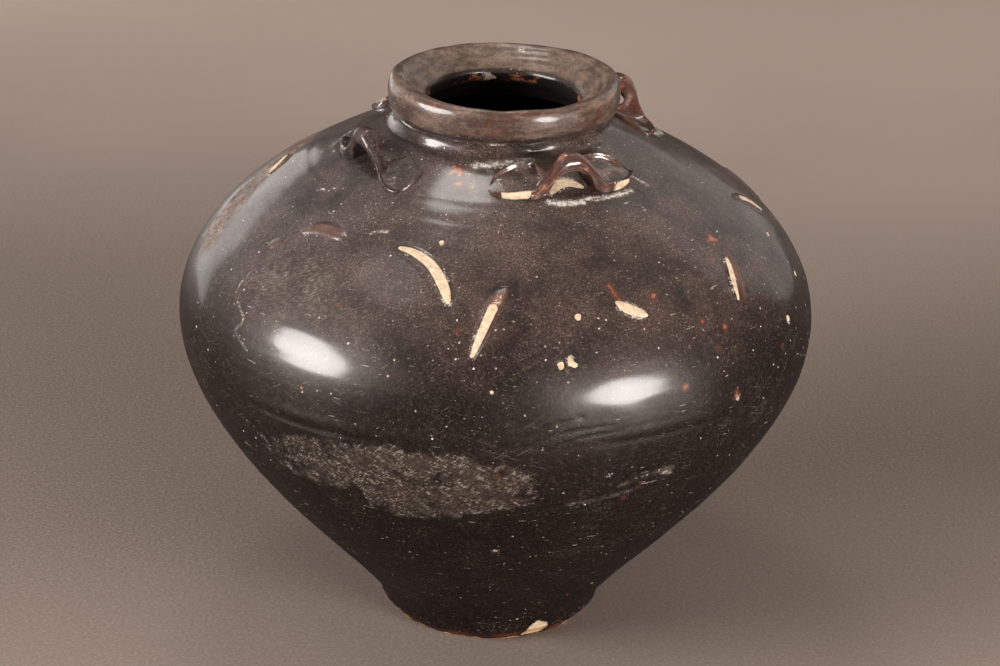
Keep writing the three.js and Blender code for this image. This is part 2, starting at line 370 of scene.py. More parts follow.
footRoll = {"height": 9.5, "reach": 3, "rise": 0.4}


# The rough brown strip on the left, with streaks of thin glaze up to mostRust.
roughStrip = {
    "marks": [(-116, 318), (-103, 318), (-94, 311), (-88.5, 302), (-84.5, 292), (-81.5, 281)],
    "reach": 17, "rust": 0.4, "mostRust": 0.62, "lime": 0.3, "coarse": 0.5, "fine": 0.25,
    "bearing": -92, "halfAngle": 18, "roughHeights": (262, 280),
}
orangeTail = {"marks": [(24.2, 303.5), (25.0, 298), (25.8, 294)], "halfWidth": 2.2}
# The chip at the foot: a patch with a straight lower side.
footChip = {
    "bearing": 26.5, "halfAngle": 6.2, "bottom": 4, "top": 13.0, "slant": 0.35, "slantFrom": 8,
    "depth": 1.8,
}
# Creases in the glaze below the right highlight. They are cut in and also painted dark as painted shade.
wrinkles = {
    "halfWidth": 1.3, "depth": 0.3, "reach": 1.5,
    "lines": [
        [(0, 216), (3, 224), (7, 231), (11, 236), (15, 238)],
        [(4.5, 219), (9, 226), (14, 230), (20, 231)],
        [(-3, 222), (1, 230), (5, 236), (8, 242)],
        [(2, 219), (5, 226), (8.5, 230.5)],
        [(10, 220), (15, 225), (22, 226)],
        [(-5, 230), (-2, 236), (1, 241)],
    ],
}


def footChipShape(bearing, height):  # 1 in the chip, 0.5 at its edge
    bottom, top = footChip["bottom"], footChip["top"]
    lean = footChip["slant"] * (height - footChip["slantFrom"])
    across = (bearing - footChip["bearing"] - lean) / footChip["halfAngle"]
    up = np.clip((height - bottom) / (top - bottom), 0, None)
    return np.clip(1.5 - np.abs(across) ** 3 - up ** 3 * (0.8 + 0.4 * np.sin(3 * across)), 0, 1)


def spotField(points, spots):  # the strongest field of round spots with uneven edges
    lobes = 1 + 0.3 * unevenness(points, 5, 33)
    return np.max([
        markField(radius * lobes, aroundSpot(points, bearing, height))
        for bearing, height, radius in spots
    ], axis=0)


def onRoughStrip(bearing, uphill, fadedBy):  # 1 on the strip, fading to 0 at fadedBy reaches
    near, _ = alongMarks(bearing, uphill, roughStrip["marks"])
    return 1 - smoothStep(0.5, fadedBy, near / roughStrip["reach"])


# Fields of a crescent: bare clay, thin glaze and a flaky crust on the end that isn't bare.
def crescentFields(bearing, uphill, crescent):
    near, share = alongMarks(bearing, uphill, crescent["marks"])
    fatAt, bareFrom = crescent["fatAt"], crescent["bareFrom"]
    inside = np.clip(markField(crescentHalfWidth(crescent["width"], fatAt, share), near), 0, 1)
    bare, edge = 0, crescentForm["bareEdge"]
    if crescent["clayWidth"]:
        glazedEnd = smoothStep(edge, -edge, share - bareFrom) * (bareFrom > 0)
        bare = markField(crescentHalfWidth(crescent["clayWidth"], fatAt, share), near) - glazedEnd
    crust = crescent["flaky"] * (1 - smoothStep(bareFrom, bareFrom + crescentForm["crustEdge"], share))
    return bare, crescent["rust"] * inside * crescentForm["rustGain"], crust * inside


# The bare and thin-glazed marks of the body: clay, rust and flaky.
def bodyMarks(bearing, uphill, points):
    everyField = zip(*(crescentFields(bearing, uphill, crescent) for crescent in crescents))
    clay, rust, flaky = (np.max(np.broadcast_arrays(0, *fields), axis=0) for fields in everyField)
    clay = np.maximum(clay, spotField(points, clayChips))
    clay = np.maximum(clay, footChipShape(bearing, points[..., 2]))
    rust = np.maximum(rust, spotField(points, thinSpots))
    nearTail, _ = alongMarks(bearing, uphill, orangeTail["marks"])
    rust = np.maximum(rust, markField(orangeTail["halfWidth"], nearTail))
    streaks = unevenness(points, 6, 31) * 0.3 + unevenness(points, 16, 32) * 0.25
    onStrip = onRoughStrip(bearing, uphill, 1.2)
    rust = np.maximum(rust, np.minimum(roughStrip["rust"] + streaks, roughStrip["mostRust"]) * onStrip)
    return clay, rust, flaky


# The rubbed grey band: heights of its edges by bearing, and the bearings between which it starts,
# strengthens and stops. The patches are bells: bearing, width, height, width and amount.
rubbedBand = {
    "lower": [(-50, 190), (-46, 176), (-40, 166), (-35, 163), (-28, 168), (-24.5, 175), (-23, 157),
              (-15.5, 153), (-7, 157), (-1.5, 165), (5, 170), (9, 176)],
    "upper": [(-50, 192), (-44, 196), (-34, 205), (-21.5, 212.5), (-12, 213), (-4, 212), (4.5, 206),
              (9, 190)],
    "starts": (-50, -42), "strengthens": (-44, -22), "stops": (4, 10),
    "lowFade": (-4, 6), "highFade": (-4, 7),
}
rubbedPatches = [(165, 26, 188, 15, 1), (-128, 16, 232, 12, 1)]
dullPatches = [(-44, 15, 288, 20, 1), (118, 22, 285, 25, 0.7)]


def patchField(bearing, height, patches):
    return sum(
        amount * bump(bearing, middle, across) * bump(height, level, tall)
        for middle, across, level, tall, amount in patches)


def rubbedField(bearing, points):
    height = points[..., 2]
    lower = np.interp(bearing, *zip(*rubbedBand["lower"]))
    upper = np.interp(bearing, *zip(*rubbedBand["upper"]))
    ends = smoothStep(*rubbedBand["starts"], bearing) * (1 - smoothStep(*rubbedBand["stops"], bearing))
    inside = smoothStep(*rubbedBand["lowFade"], height - lower)
    inside = inside * smoothStep(*rubbedBand["highFade"], upper - height) * ends
    fading = blend(0.55, 1, smoothStep(*rubbedBand["strengthens"], bearing))
    band = inside * fading * (0.85 + 0.15 * unevenness(points, 30, 41))
    patches = patchField(bearing, height, rubbedPatches) * (0.8 + 0.2 * unevenness(points, 20, 42))
    return np.maximum(band, patches)


# Wear of the surface: scuff is the rubbed grey band, dull the scratched patches of the shoulder,
# deposit the white lime, dry the crusty strip and crease the wrinkles of the glaze, which are painted
# dark as painted shade.
def bodyWear(bearing, uphill, points):
    height = points[..., 2]
    onStrip = onRoughStrip(bearing, uphill, 1.3)
    nearNeck = collarLime["amount"] * bump(height, collarLime["height"], collarLime["reach"])
    nearNeck = nearNeck * (0.6 + 0.5 * unevenness(points, 24, 43))
    deposit = np.maximum(roughStrip["lime"] * onStrip, nearNeck)
    for line in limeLines:
        near, _ = alongMarks(bearing, uphill, line["marks"])
        deposit = np.maximum(deposit, line["amount"] * bump(near, 0, line["reach"]))
    crease = np.zeros(bearing.shape)
    for marks in wrinkles["lines"]:
        near, share = alongMarks(bearing, uphill, marks)
        half = wrinkles["halfWidth"] * np.sin(math.pi * np.clip(share, 0.05, 0.95))
        crease = np.maximum(crease, markField(half, near))
    return {
        "scuff": rubbedField(bearing, points),
        "dull": np.maximum(patchField(bearing, height, dullPatches), onStrip),
        "deposit": deposit, "crease": crease,
        "dry": onStrip * (0.5 + 0.5 * unevenness(points, 16, 44) + 0.35 * unevenness(points, 6, 45)),
    }


def swayed(start, bearing, waves):  # with sines round the jar, each a size, a count and a phase
    for size, count, phase in waves:
        start = start + size * np.sin(np.radians(bearing * count + phase))
    return start


# Slow handwork: wobble of the whole form, small dents, and the rings left by throwing, which are
# the sum of two sines of the length uphill, with a slow drift round the jar. They are deepest below
# and by the neck.
throwing = {
    "wobble": 0.33, "wobbleSize": 260, "dents": 0.12, "dentSize": 42,
    "rings": 0.05, "wideRing": 11.7, "narrowRing": 7.3, "narrowShare": 0.7, "narrowPhase": 1.2,
    "drifts": [(1.6, 2, 40), (1.1, 3, 0)],
    "fadeHeights": (60, 190), "returnHeights": (312, 345), "least": 0.5,
}


def thrownForm(bearing, uphill, points):
    height = points[..., 2]
    relief = -body["inset"] + throwing["wobble"] * unevenness(points, throwing["wobbleSize"], 11)
    relief += throwing["dents"] * unevenness(points, throwing["dentSize"], 12)
    turns = 2 * np.pi * swayed(uphill, bearing, throwing["drifts"])
    narrow = np.sin(turns / throwing["narrowRing"] + throwing["narrowPhase"])
    rings = np.sin(turns / throwing["wideRing"]) + throwing["narrowShare"] * narrow
    depth = throwing["least"] + (1 - smoothStep(*throwing["fadeHeights"], height))
    depth = throwing["rings"] * (depth + smoothStep(*throwing["returnHeights"], height))
    return relief + rings * depth * (0.7 + 0.4 * unevenness(points, 90, 13))


# The ridge where the two halves were joined: a low swell above a shallow groove. It is smoothed
# away except in two stretches of the front, given as bearing, width and strength.
join = {
    "height": 219.5, "sways": [(3.2, 1, -20), (1.5, 3, 60)], "least": 0.08, "most": 0.9,
    "stretches": [(-33, 12, 1), (32, 17, 0.3)],
    "rise": 0.8, "riseAbove": 3.4, "riseWidth": 4.2,
    "groove": 1.3, "grooveBelow": 2.2, "grooveWidth": 1.9,
}


def joinRidge(bearing, height):
    at = swayed(join["height"], bearing, join["sways"])
    bells = [amount * bump(bearing, middle, width) for middle, width, amount in join["stretches"]]
    strength = join["least"] + join["most"] * np.maximum(*bells)
    swell = join["rise"] * bump(height, at + join["riseAbove"], join["riseWidth"])
    groove = join["groove"] * bump(height, at - join["grooveBelow"], join["grooveWidth"])
    return strength * (swell - groove)


# A crescent's height: a dome (1 - x^2)^domePower with a flattened top, and a slight groove round
# it.
def crescentRelief(bearing, uphill, crescent):
    near, share = alongMarks(bearing, uphill, crescent["marks"])
    half = crescentHalfWidth(crescent["width"], crescent["fatAt"], share)
    form = crescentForm
    dome = np.clip(1 - (near / (half * form["domeReach"])) ** 2, 0, 1) ** form["domePower"]
    flattened = np.minimum(dome, blend(form["flatFrom"], dome, form["flatSlope"]))
    groove = form["groove"] * bump(near, half * form["grooveAt"], form["grooveWidth"])
    return crescent["rise"] * flattened - groove


# The body's height off its smooth outline, in millimetres: thrown form, join, crescents, chips,
# the chipped and thickened edge at the foot, creases and the rough strip.
def bodyRelief(bearing, uphill, points, rust):
    height = points[..., 2]
    relief = thrownForm(bearing, uphill, points) + joinRidge(bearing, height)
    for crescent in crescents:
        relief += crescentRelief(bearing, uphill, crescent)
    for spotBearing, spotHeight, radius in clayChips:
        near = aroundSpot(points, spotBearing, spotHeight)
        relief -= 0.5 * (1 - smoothStep(radius * 0.6, radius * 1.3, near))
    relief -= footChip["depth"] * smoothStep(0.4, 0.7, footChipShape(bearing, height))
    roll = footRoll["rise"] * bump(height, footRoll["height"], footRoll["reach"])
    relief += roll * (0.7 + 0.3 * unevenness(points, 30, 15))
    for marks in wrinkles["lines"]:
        near, _ = alongMarks(bearing, uphill, marks)
        crease = wrinkles["depth"] * bump(near, 0, wrinkles["reach"])
        relief -= crease * (0.6 + 0.4 * unevenness(points, 9, 17))
    onStrip = rust * bump(bearing, roughStrip["bearing"], roughStrip["halfAngle"])
    onStrip = onStrip * smoothStep(*roughStrip["roughHeights"], height)
    coarse, fine = unevenness(points, 9, 16), unevenness(points, 5, 18)
    return relief + onStrip * (roughStrip["coarse"] * coarse + roughStrip["fine"] * fine)


# Bearings of the columns. They stand closer together at the front, where the detail is:
# b = u - k sin(u), in turns of a circle.
def columnBearings(count):
    even = np.linspace(-math.pi, math.pi, count, endpoint=False)
    return np.degrees(even - body["frontCrowding"] * np.sin(even))


columns = columnBearings(body["columns"])


# Lengths uphill of the rows, closer together at the crescents and the join: steps are in
# proportion to 1 / (1 + rowCrowding (exp(-x^2) + exp(-y^2))), with x and y the distances from them.
def rowPlaces(fromUphill, toUphill, count):
    fine = np.linspace(fromUphill, toUphill, 2000)
    close = bump(fine, uphillAt(body["crescentHeight"]), body["crescentReach"])
    close += bump(fine, uphillAt(body["joinHeight"]), body["joinReach"])
    crowding = 1 + body["rowCrowding"] * close
    share = np.concatenate([[0], np.cumsum(crowding[1:])])
    return np.interp(np.linspace(0, share[-1], count), share, fine)


# Places of the outer skin for rows of lengths uphill, with their masks.
def bodySkin(uphillRows):
    bearing, uphill = np.meshgrid(columns, uphillRows)
    smooth = onBody(bearing, uphill)
    clay, rust, flaky = bodyMarks(bearing, uphill, smooth)
    wear = bodyWear(bearing, uphill, smooth)
    wear["deposit"] = np.maximum(wear["deposit"], flaky)
    # Painted shade: the last stretch of the outline, inside the opening, is painted near-black.
    throat = smoothStep(outlineEnd - 8, outlineEnd - 6, uphill)
    masks = masksOf(bearing.shape, clay=clay, rust=rust, throat=throat, **wear)
    return onBody(bearing, uphill, bodyRelief(bearing, uphill, smooth, masks["rust"])), masks


# The plain inner skin: rows that go from one length uphill to another, a wall's width inside,
# with the soft rings that the fingers leave.
def innerSkin(fromUphill, toUphill, rows):
    bearing, uphill = np.meshgrid(columns, np.linspace(fromUphill, toUphill, rows))
    smooth = onBody(bearing, uphill)
    depth = -body["wall"] - body["fingerDepth"] * np.sin(uphill / body["fingerRing"])
    return onBody(bearing, uphill, depth + 0.3 * unevenness(smooth, 60, 21))


def innerMasks(shape):  # no marks, and painted near-black as the shade inside
    return masksOf(shape, throat=1.0, crease=0.0)


# Neck and rim. A pair of heights or radii is where a zone starts and where it is full, or where it
# begins to end and where it is over.
neck = {
    "outerMarks": [  # (radius, height) from the fillet on the shoulder, over the crest, to the throat
        (78.5, 351.4), (76.0, 352.7), (73.8, 354.3), (72.0, 356.5), (70.9, 359.1), (70.6, 361.6),
        (71.1, 363.5), (72.4, 364.6), (74.6, 366.2), (76.2, 369.4), (76.8, 373.6), (76.7, 377.8),
        (76.1, 381.4), (74.8, 384.4), (72.6, 386.1), (69.6, 385.9), (66.2, 384.0), (62.4, 381.4),
        (58.4, 378.6), (54.7, 375.9), (52.0, 373.3), (50.7, 370.2), (50.9, 366.9), (52.6, 363.6),
        (55.4, 361.0), (58.6, 358.6),
    ],
    "seatMarks": [(58.6, 358.6), (62.4, 356.2), (67.0, 354.4), (72.0, 352.6), (78.5, 351.4)],
    "columns": 640, "rows": 138, "seatRows": 7, "top": 387.3,
    "lean": 1.5, "leanHeights": (358, 372), "smoothBelow": (352.5, 358),
    "wobble": 0.34, "wobbleSize": 95, "dents": 0.2, "dentSize": 24, "lines": 0.07, "linePitch": 4.1,
    "fold": 1.1, "foldRadius": 68.0, "foldWidth": 1.5, "creaseRadius": 64.8, "creaseWidth": 2.2,
    "foldLimeRadius": 68.2, "limeHeights": (376, 384), "crestEdgeRadius": 74.6, "throatRadius": 60,
    "undercut": 364.9, "undercutDepth": 0.7, "thinEdge": 362.8, "underLipHeights": (361, 367),
    "lineHeights": (374, 377), "lineRadii": (68, 71), "outsideRadii": (68, 70),
    "dishHeights": (372, 376), "dishRadii": (72, 74.5), "crestHeights": (380.5, 384.5),
    "rollStart": (366, 370), "rollEnd": (381, 385), "rollRadii": (72, 74),
    "throatHeights": (369.8, 371.8),
}
# Where the collar's marks are, as bearing, width and amount.
foldPlaces = [(62, 26, 1), (-70, 26, 1)]
thinFront = [(0, 17, 0.9), (48, 26, 0.8)]
thinBack = [(180, 60, 0.5)]
limeBack = [(176, 40, 1)]
limeLeft = [(-80, 34, 1)]
underLipPlaces = [(-150, 14, 1.2), (168, 12, 0.9)]
lipChip = [(-172, 7, 1)]


def bellsRound(bearing, places):
    return sum(amount * bump(bearing, middle, width) for middle, width, amount in places)


# The collar's height off its profile: slow wobble and dents, throwing lines in the dish, a folded
# step inside the crest on either side, and the groove under the roll with the glaze's thin edge.
def neckRelief(bearing, profile, points):
    relief = neck["wobble"] * unevenness(points, neck["wobbleSize"], 51)
    relief += neck["dents"] * unevenness(points, neck["dentSize"], 52)
    radius, height = np.hsplit(profile, 2)
    inDish = smoothStep(*neck["lineHeights"], height) * (1 - smoothStep(*neck["lineRadii"], radius))
    ring = (radius + np.sin(np.radians(bearing * 2))) / neck["linePitch"]
    relief += neck["lines"] * inDish * np.sin(2 * np.pi * ring)
    step = bump(radius, neck["foldRadius"], neck["foldWidth"])
    step = neck["fold"] * (step - bump(radius, neck["creaseRadius"], neck["creaseWidth"]))
    relief += inDish * bellsRound(bearing, foldPlaces) * step
    outside = smoothStep(*neck["outsideRadii"], radius)
    groove = neck["undercutDepth"] * outside * bump(height, neck["undercut"], 1.1)
    relief -= groove * (0.7 + 0.3 * unevenness(points, 18, 53))
    return relief + 0.3 * outside * bump(height, neck["thinEdge"], 0.7)


# Thin glaze on the front of the roll and along the crest's edge.
def neckRust(bearing, radius, onCrest, onRoll, breakup, points):
    front = bellsRound(bearing, thinFront) + 0.16 * unevenness(points, 50, 57)
    front += bellsRound(np.abs(bearing), thinBack)
    rust = onRoll * (0.16 + 0.2 * front + 0.55 * breakup)
    crestEdge = bump(radius, neck["crestEdgeRadius"], 1.4) * onCrest
    return np.maximum(rust, crestEdge * (0.3 + 0.2 * unevenness(points, 30, 58) + 0.5 * breakup))


# Lime in the dish, mostly behind and on the left, in the folds and along the thin edge.
def neckLime(bearing, radius, height, inDish, points):
    back = inDish * smoothStep(*neck["limeHeights"], height) * bellsRound(np.abs(bearing), limeBack)
    left = inDish * bellsRound(bearing, limeLeft)
    folds = 0.5 * bellsRound(bearing, foldPlaces) * bump(radius, neck["foldLimeRadius"], 0.8) * inDish
    thinLine = bump(height, neck["thinEdge"], 0.9) * (radius > neck["outsideRadii"][0])
    return np.max(np.broadcast_arrays(
        back * (0.3 + 0.12 * unevenness(points, 14, 61)),
        left * (0.42 + 0.1 * unevenness(points, 14, 63)),
        folds,
        thinLine * (0.3 + 0.4 * unevenness(points, 20, 62))), axis=0)


# Marks of the neck: dry on the dish and the crest, thin and orange on the front of the roll and
# in patches under the lip, and near-black in the throat as painted shade.
def neckMasks(bearing, profile, points):
    radius, height = np.hsplit(profile, 2)
    inDish = smoothStep(*neck["dishHeights"], height) * (1 - smoothStep(*neck["dishRadii"], radius))
    onCrest = smoothStep(*neck["crestHeights"], height)
    onRoll = smoothStep(*neck["rollStart"], height) * (1 - smoothStep(*neck["rollEnd"], height))
    onRoll = onRoll * smoothStep(*neck["rollRadii"], radius)
    throat = (1 - smoothStep(*neck["throatHeights"], height)) * (radius < neck["throatRadius"])
    breakup = 0.16 * unevenness(points, 8, 55) + 0.14 * unevenness(points, 3.6, 56)
    spread = unevenness(points, 24, 59) + 0.4 * unevenness(points, 8, 60)
    patches = smoothStep(0.2, 0.7, spread + bellsRound(bearing, underLipPlaces))
    underLip = throat * smoothStep(*neck["underLipHeights"], height) * patches
    rust = neckRust(bearing, radius, onCrest, onRoll, breakup, points)
    return masksOf(
        points.shape[:2], throat=throat, dull=0.25 * inDish,
        rust=np.maximum(rust, underLip * (0.85 + breakup)),
        clay=markField(1.6, 4 - 5 * underLip * bellsRound(bearing, lipChip)),
        deposit=neckLime(bearing, radius, height, inDish, points),
        dry=np.maximum(inDish, 0.9 * onCrest) + 0.52 * onRoll)


def buildNeck(material):
    profile = evenPoints(throughMarks(neck["outerMarks"], 10), neck["rows"])
    seat = evenPoints(np.array(neck["seatMarks"], float), neck["seatRows"])[1:-1]
    bearing = columnBearings(neck["columns"])[None, :]

    def swept(radius, height):  # a ring for each radius and height, leaning to the right above
        points = turnedPoints(radius, bearing, height)
        points[..., 0] += neck["lean"] * smoothStep(*neck["leanHeights"], height)
        return points

    radius, height = np.hsplit(profile, 2)
    outR, outZ = np.hsplit(profileNormals(profile), 2)
    smooth = swept(radius, height)
    relief = neckRelief(bearing, profile, smooth) * smoothStep(*neck["smoothBelow"], height)
    points = swept(radius + relief * outR, height + relief * outZ)
    points[..., 2] = np.minimum(points[..., 2], neck["top"])
    under = swept(*np.hsplit(seat, 2))
    masks = [neckMasks(bearing, profile, smooth), innerMasks(under.shape[:2])]
    addShell("neckRim", [points, under], masks, material, "neck_rim")


# Lugs: a rolled coil that arches over the shoulder, its ends pressed out into hollow leaves

lug = {
    "coilRadius": 6.3, "coilEndRadius": 3.2, "coilTipRadius": 1.7, "coilSink": 1.0, "taperedBy": 0.9,
    "leafThickness": 1.2, "edgeRise": 2.6, "edgeInset": 1.7, "edgeWidth": 1.3, "hollow": 0.9,
    "archTopTo": 0.05, "archClearTo": 0.2, "archJoinsAt": 0.34, "archLandsAt": 0.49,
    "tipSteepness": 2.5, "pressedFrom": 0.3, "pressedBy": 0.52, "pressing": 0.92, "edgesLowered": 0.55,
    "thinnest": 0.05, "uphillFade": 1.1, "undersidePower": 4,
    "collarRadius": 69, "lineBelowCollar": 28.5, "sink": 2.2, "chipsOff": 2.5,
    "stations": 176, "sides": 112,
}
upperPart = slice(body["curvePoints"], None)
collarUphill = np.interp(-lug["collarRadius"], -outline[upperPart, 0], outlineLengths[upperPart])
lugLine = collarUphill - lug["lineBelowCollar"]
# A leaf's reach round the jar in degrees, how far it spreads uphill and downhill, where its tip is
# downhill, the shares of its reach at which it is fully down, at which its two edges turn in and
# by which it is fully spread, and whether it is flattened.
evenLeaf = {
    "angle": 30, "up": 17.5, "down": 14, "tip": 5, "downAt": 0.49, "lowTurn": 0.55, "highTurn": 0.55,
    "spreadBy": 0.34, "flattened": 0,
}
kiteLeaf = {
    "angle": 27, "up": 24, "down": 22, "tip": -3, "downAt": 0.78, "lowTurn": 0.8, "highTurn": 0.1,
    "spreadBy": 0.55, "flattened": 1,
}
# Chips run from one bearing to another at a height, with a radius.
lugs = [
    {"name": "lugFront", "node": "lug_front", "bearing": 26, "rise": 17, "seed": 71,
     "redness": 0.56, "lime": 0.44, "left": evenLeaf, "right": {**evenLeaf, "down": 16.5},
     "chips": [(2.4, 9.4, 341.1, 3.1), (43.6, 48.8, 338.4, 3.3)]},
    {"name": "lugRight", "node": "lug_right", "bearing": 128, "rise": 19, "seed": 74,
     "redness": 0.62, "lime": 0.1, "left": evenLeaf, "right": evenLeaf,
     "chips": [(146, 149, 341, 3.0)]},
    {"name": "lugBack", "node": "lug_back", "bearing": 210, "rise": 18, "seed": 77,
     "redness": 0.42, "lime": 0.3, "left": evenLeaf, "right": evenLeaf,
     "chips": [(188, 192, 341, 3.0), (230, 233, 341, 2.6)]},
    {"name": "lugLeft", "node": "lug_left", "bearing": -58, "rise": 17, "seed": 80,
     "redness": 0.22, "lime": 0.1, "left": {**evenLeaf, "angle": 27, "up": 10.5}, "right": kiteLeaf,
     "chips": []},
]


# How full a leaf's side still is at a reach: all of it up to the turn, then down to nothing at the
# tip, once as a round end, sqrt(1 - x^2), and once as a pointed one, 1 - x.
def turnedIn(reach, turnsAt):
    beyond = np.clip((reach - turnsAt) / (1 - turnsAt), 0, 1)
    return np.sqrt(1 - beyond ** 2), 1 - beyond


# The coil at each reach: its radius, half its width, its centre down the slope and up off the
# shoulder, and the fullness of the leaf beyond it.
def lugCoil(reach, rise, leaf):
    landed = smoothStep(lug["archTopTo"], lug["archLandsAt"], reach)
    fullness, _ = turnedIn(reach, leaf["lowTurn"])
    taper = smoothStep(lug["archLandsAt"], lug["taperedBy"], reach)
    endRadius = blend(lug["coilEndRadius"], lug["coilTipRadius"], taper)
    radius = blend(lug["coilRadius"], endRadius, landed)
    halfWidth = radius * blend(1, fullness, landed)
    dropped = smoothStep(lug["archTopTo"], leaf["downAt"], reach)
    centreDown = (blend(leaf["tip"], leaf["down"], fullness) - radius * fullness) * dropped
    centreUp = blend(rise, lug["coilEndRadius"] - lug["coilSink"], landed)
    return radius, halfWidth, centreDown, centreUp, fullness


# One lug's cross-sections, as lengths down the slope and up off the shoulder for each station
# (reach, the share of the half span) and turn round the section. At the arch it is a circle. On
# the leaf the upper side is a thin sheet with a raised edge, and a half-round coil runs along its
# lower side: height = sheet blended to the coil's top by sqrt(1 - x^2), or by exp(-x^2) uphill.
# On a flattened leaf the coil is pressed down to a second raised edge.
def lugSections(reach, turn, rise, leaf):
    radius, halfWidth, centreDown, centreUp, fullness = lugCoil(reach, rise, leaf)
    flat = smoothStep(lug["archClearTo"], lug["archJoinsAt"], reach)
    flattened = leaf["flattened"]
    low = centreDown + halfWidth
    spread = smoothStep(lug["archClearTo"], leaf["spreadBy"], reach)
    highFullness = blend(*turnedIn(reach, leaf["highTurn"]), flattened)
    high = blend(centreDown - halfWidth, blend(leaf["tip"], -leaf["up"], highFullness), spread)
    down = blend((low + high) / 2, low, np.cos(turn))
    across = (down - centreDown) / np.maximum(halfWidth, lug["thinnest"])
    fade = np.exp(-(across / lug["uphillFade"]) ** 2)
    swell = np.where(across > 0, np.sqrt(np.clip(1 - across ** 2, 0, 1)), fade)
    edges = bump(down - high, lug["edgeInset"], lug["edgeWidth"])
    edges = edges + flattened * bump(low - down, lug["edgeInset"], lug["edgeWidth"])
    sheet = lug["leafThickness"] + lug["edgeRise"] * edges * (1 - lug["edgesLowered"] * flattened)
    pressed = smoothStep(lug["pressedFrom"], lug["pressedBy"], reach)
    swell = swell * (1 - lug["pressing"] * flattened * pressed)
    rounding = np.sqrt(np.clip((down - high) / lug["edgeInset"], 0, 1))
    lowRounding = np.sqrt(np.clip((low - down) / lug["edgeInset"], 0, 1))
    rounding = rounding * blend(1, lowRounding, flattened * (1 - swell))
    tipThinning = np.minimum(1, lug["tipSteepness"] * fullness)
    up = blend(sheet, centreUp + radius, swell) * rounding * tipThinning
    underside = -lug["sink"] * (1 - np.abs(np.cos(turn)) ** lug["undersidePower"])
    up = np.where(np.sin(turn) > 1e-6, up, underside)
    coilDown = centreDown + radius * np.cos(turn)
    coilUp = centreUp + radius * np.sin(turn)
    return blend(coilDown, down, flat), blend(coilUp, up, flat), flat, swell


def buildLug(shape, material):
    stations = np.linspace(-0.5, 0.5, lug["stations"] + 1)[1:-1]
    across = np.sin(stations * math.pi)[:, None]
    turn = np.linspace(0, 2 * math.pi, lug["sides"], endpoint=False)[None, :]
    left, right = shape["left"], shape["right"]
    leaf = {key: np.where(across < 0, left[key], right[key]) for key in evenLeaf}
    down, up, flat, swell = lugSections(np.abs(across), turn, shape["rise"], leaf)
    bearing = np.broadcast_to(shape["bearing"] + across * leaf["angle"], down.shape)
    base = -body["inset"]
    smooth = onBody(bearing, lugLine - down, up + base)
    onTop = np.sin(turn) > 0
    hollow = flat * (1 - swell) * onTop
    seed = shape["seed"]
    handwork = 0.2 * unevenness(smooth, 16, seed) + 0.05 * unevenness(smooth, 6, seed + 1)
    handwork = handwork - lug["hollow"] * hollow * (0.8 + 0.3 * unevenness(smooth, 18, seed + 2))
    points = onBody(bearing, lugLine - down, up + base + handwork * (onTop | (flat < 0.5)))
    tips = [
        onBody(shape["bearing"] + side * end["angle"], lugLine - end["tip"], base)
        for side, end in ((-1, left), (1, right))
    ]
    masks = lugMasks(shape, smooth, up, flat, swell, hollow)
    addCapped(shape["name"], points, tips, [0, 0], masks, False, material, shape["node"])


# Marks of a lug: thin red-brown glaze on its coil, orange along the raised edge, chips at the ends
# and a film of lime in the hollow of the leaf.
def lugMasks(shape, points, up, flat, swell, hollow):
    seed, redness = shape["seed"], shape["redness"]
    breakup = 0.12 * unevenness(points, 12, seed + 3) + 0.08 * unevenness(points, 5, seed + 4)
    edge = hollow * bump(up, lug["leafThickness"] + lug["edgeRise"], 0.7)
    coil = 1 - flat * (1 - swell)
    rust = redness * (0.5 + 0.5 * coil) + 0.8 * edge * redness + breakup
    clay = np.zeros(up.shape)
    for fromBearing, toBearing, height, radius in shape["chips"]:
        start, end = (onBody(b, uphillAt(height), lug["chipsOff"]) for b in (fromBearing, toBearing))
        share = np.clip((points - start) @ (end - start) / np.sum((end - start) ** 2), 0, 1)
        near = np.linalg.norm(points - start - share[..., None] * (end - start), axis=-1)
        clay = np.maximum(clay, markField(radius, near))
    return masksOf(up.shape, clay=clay, rust=rust, deposit=shape["lime"] * hollow)


# Base slab: bare clay below, the thin end of the glaze on its rim. Places are (radius, height), but
# those of the recess underneath are (radius, share of its depth).
slab = {
    "recess": 1.6, "recessShares": [(4, 1), (16, 1), (30, 1), (42, 0.9), (50, 0.5)],
    "standing": [(56, 0.25), (62, 0.03), (68, 0.05)],
    "side": [(70, 0.3), (70.9, 0.9), (71.6, 1.8), (72.8, 3.2), (74.4, 5.0), (76.0, 6.8), (76.8, 8.0)],
    "ledge": 8.0, "ledgeRadius": 73, "top": 12, "topRadii": (40, 4), "gap": 0.3,
    "columns": 640, "underRows": 26, "sideRows": 16, "wireDepth": 0.12, "wireGap": 1.3,
}


def slabProfile():
    recess = [(radius, slab["recess"] * share) for radius, share in slab["recessShares"]]
    under = evenPoints(np.array([*recess, *slab["standing"]]), slab["underRows"])
    side = evenPoints(np.array(slab["side"]), slab["sideRows"])[1:]
    ledge, top = slab["ledge"], slab["top"]
    inner = body["slabRadius"] - body["wall"]
    step = [(slab["ledgeRadius"], ledge), (inner - slab["gap"], ledge), (inner - slab["gap"], top - 0.4)]
    floor = [(inner - 1.5, top), *((radius, top) for radius in slab["topRadii"])]
    return np.concatenate([under, side, step, floor])


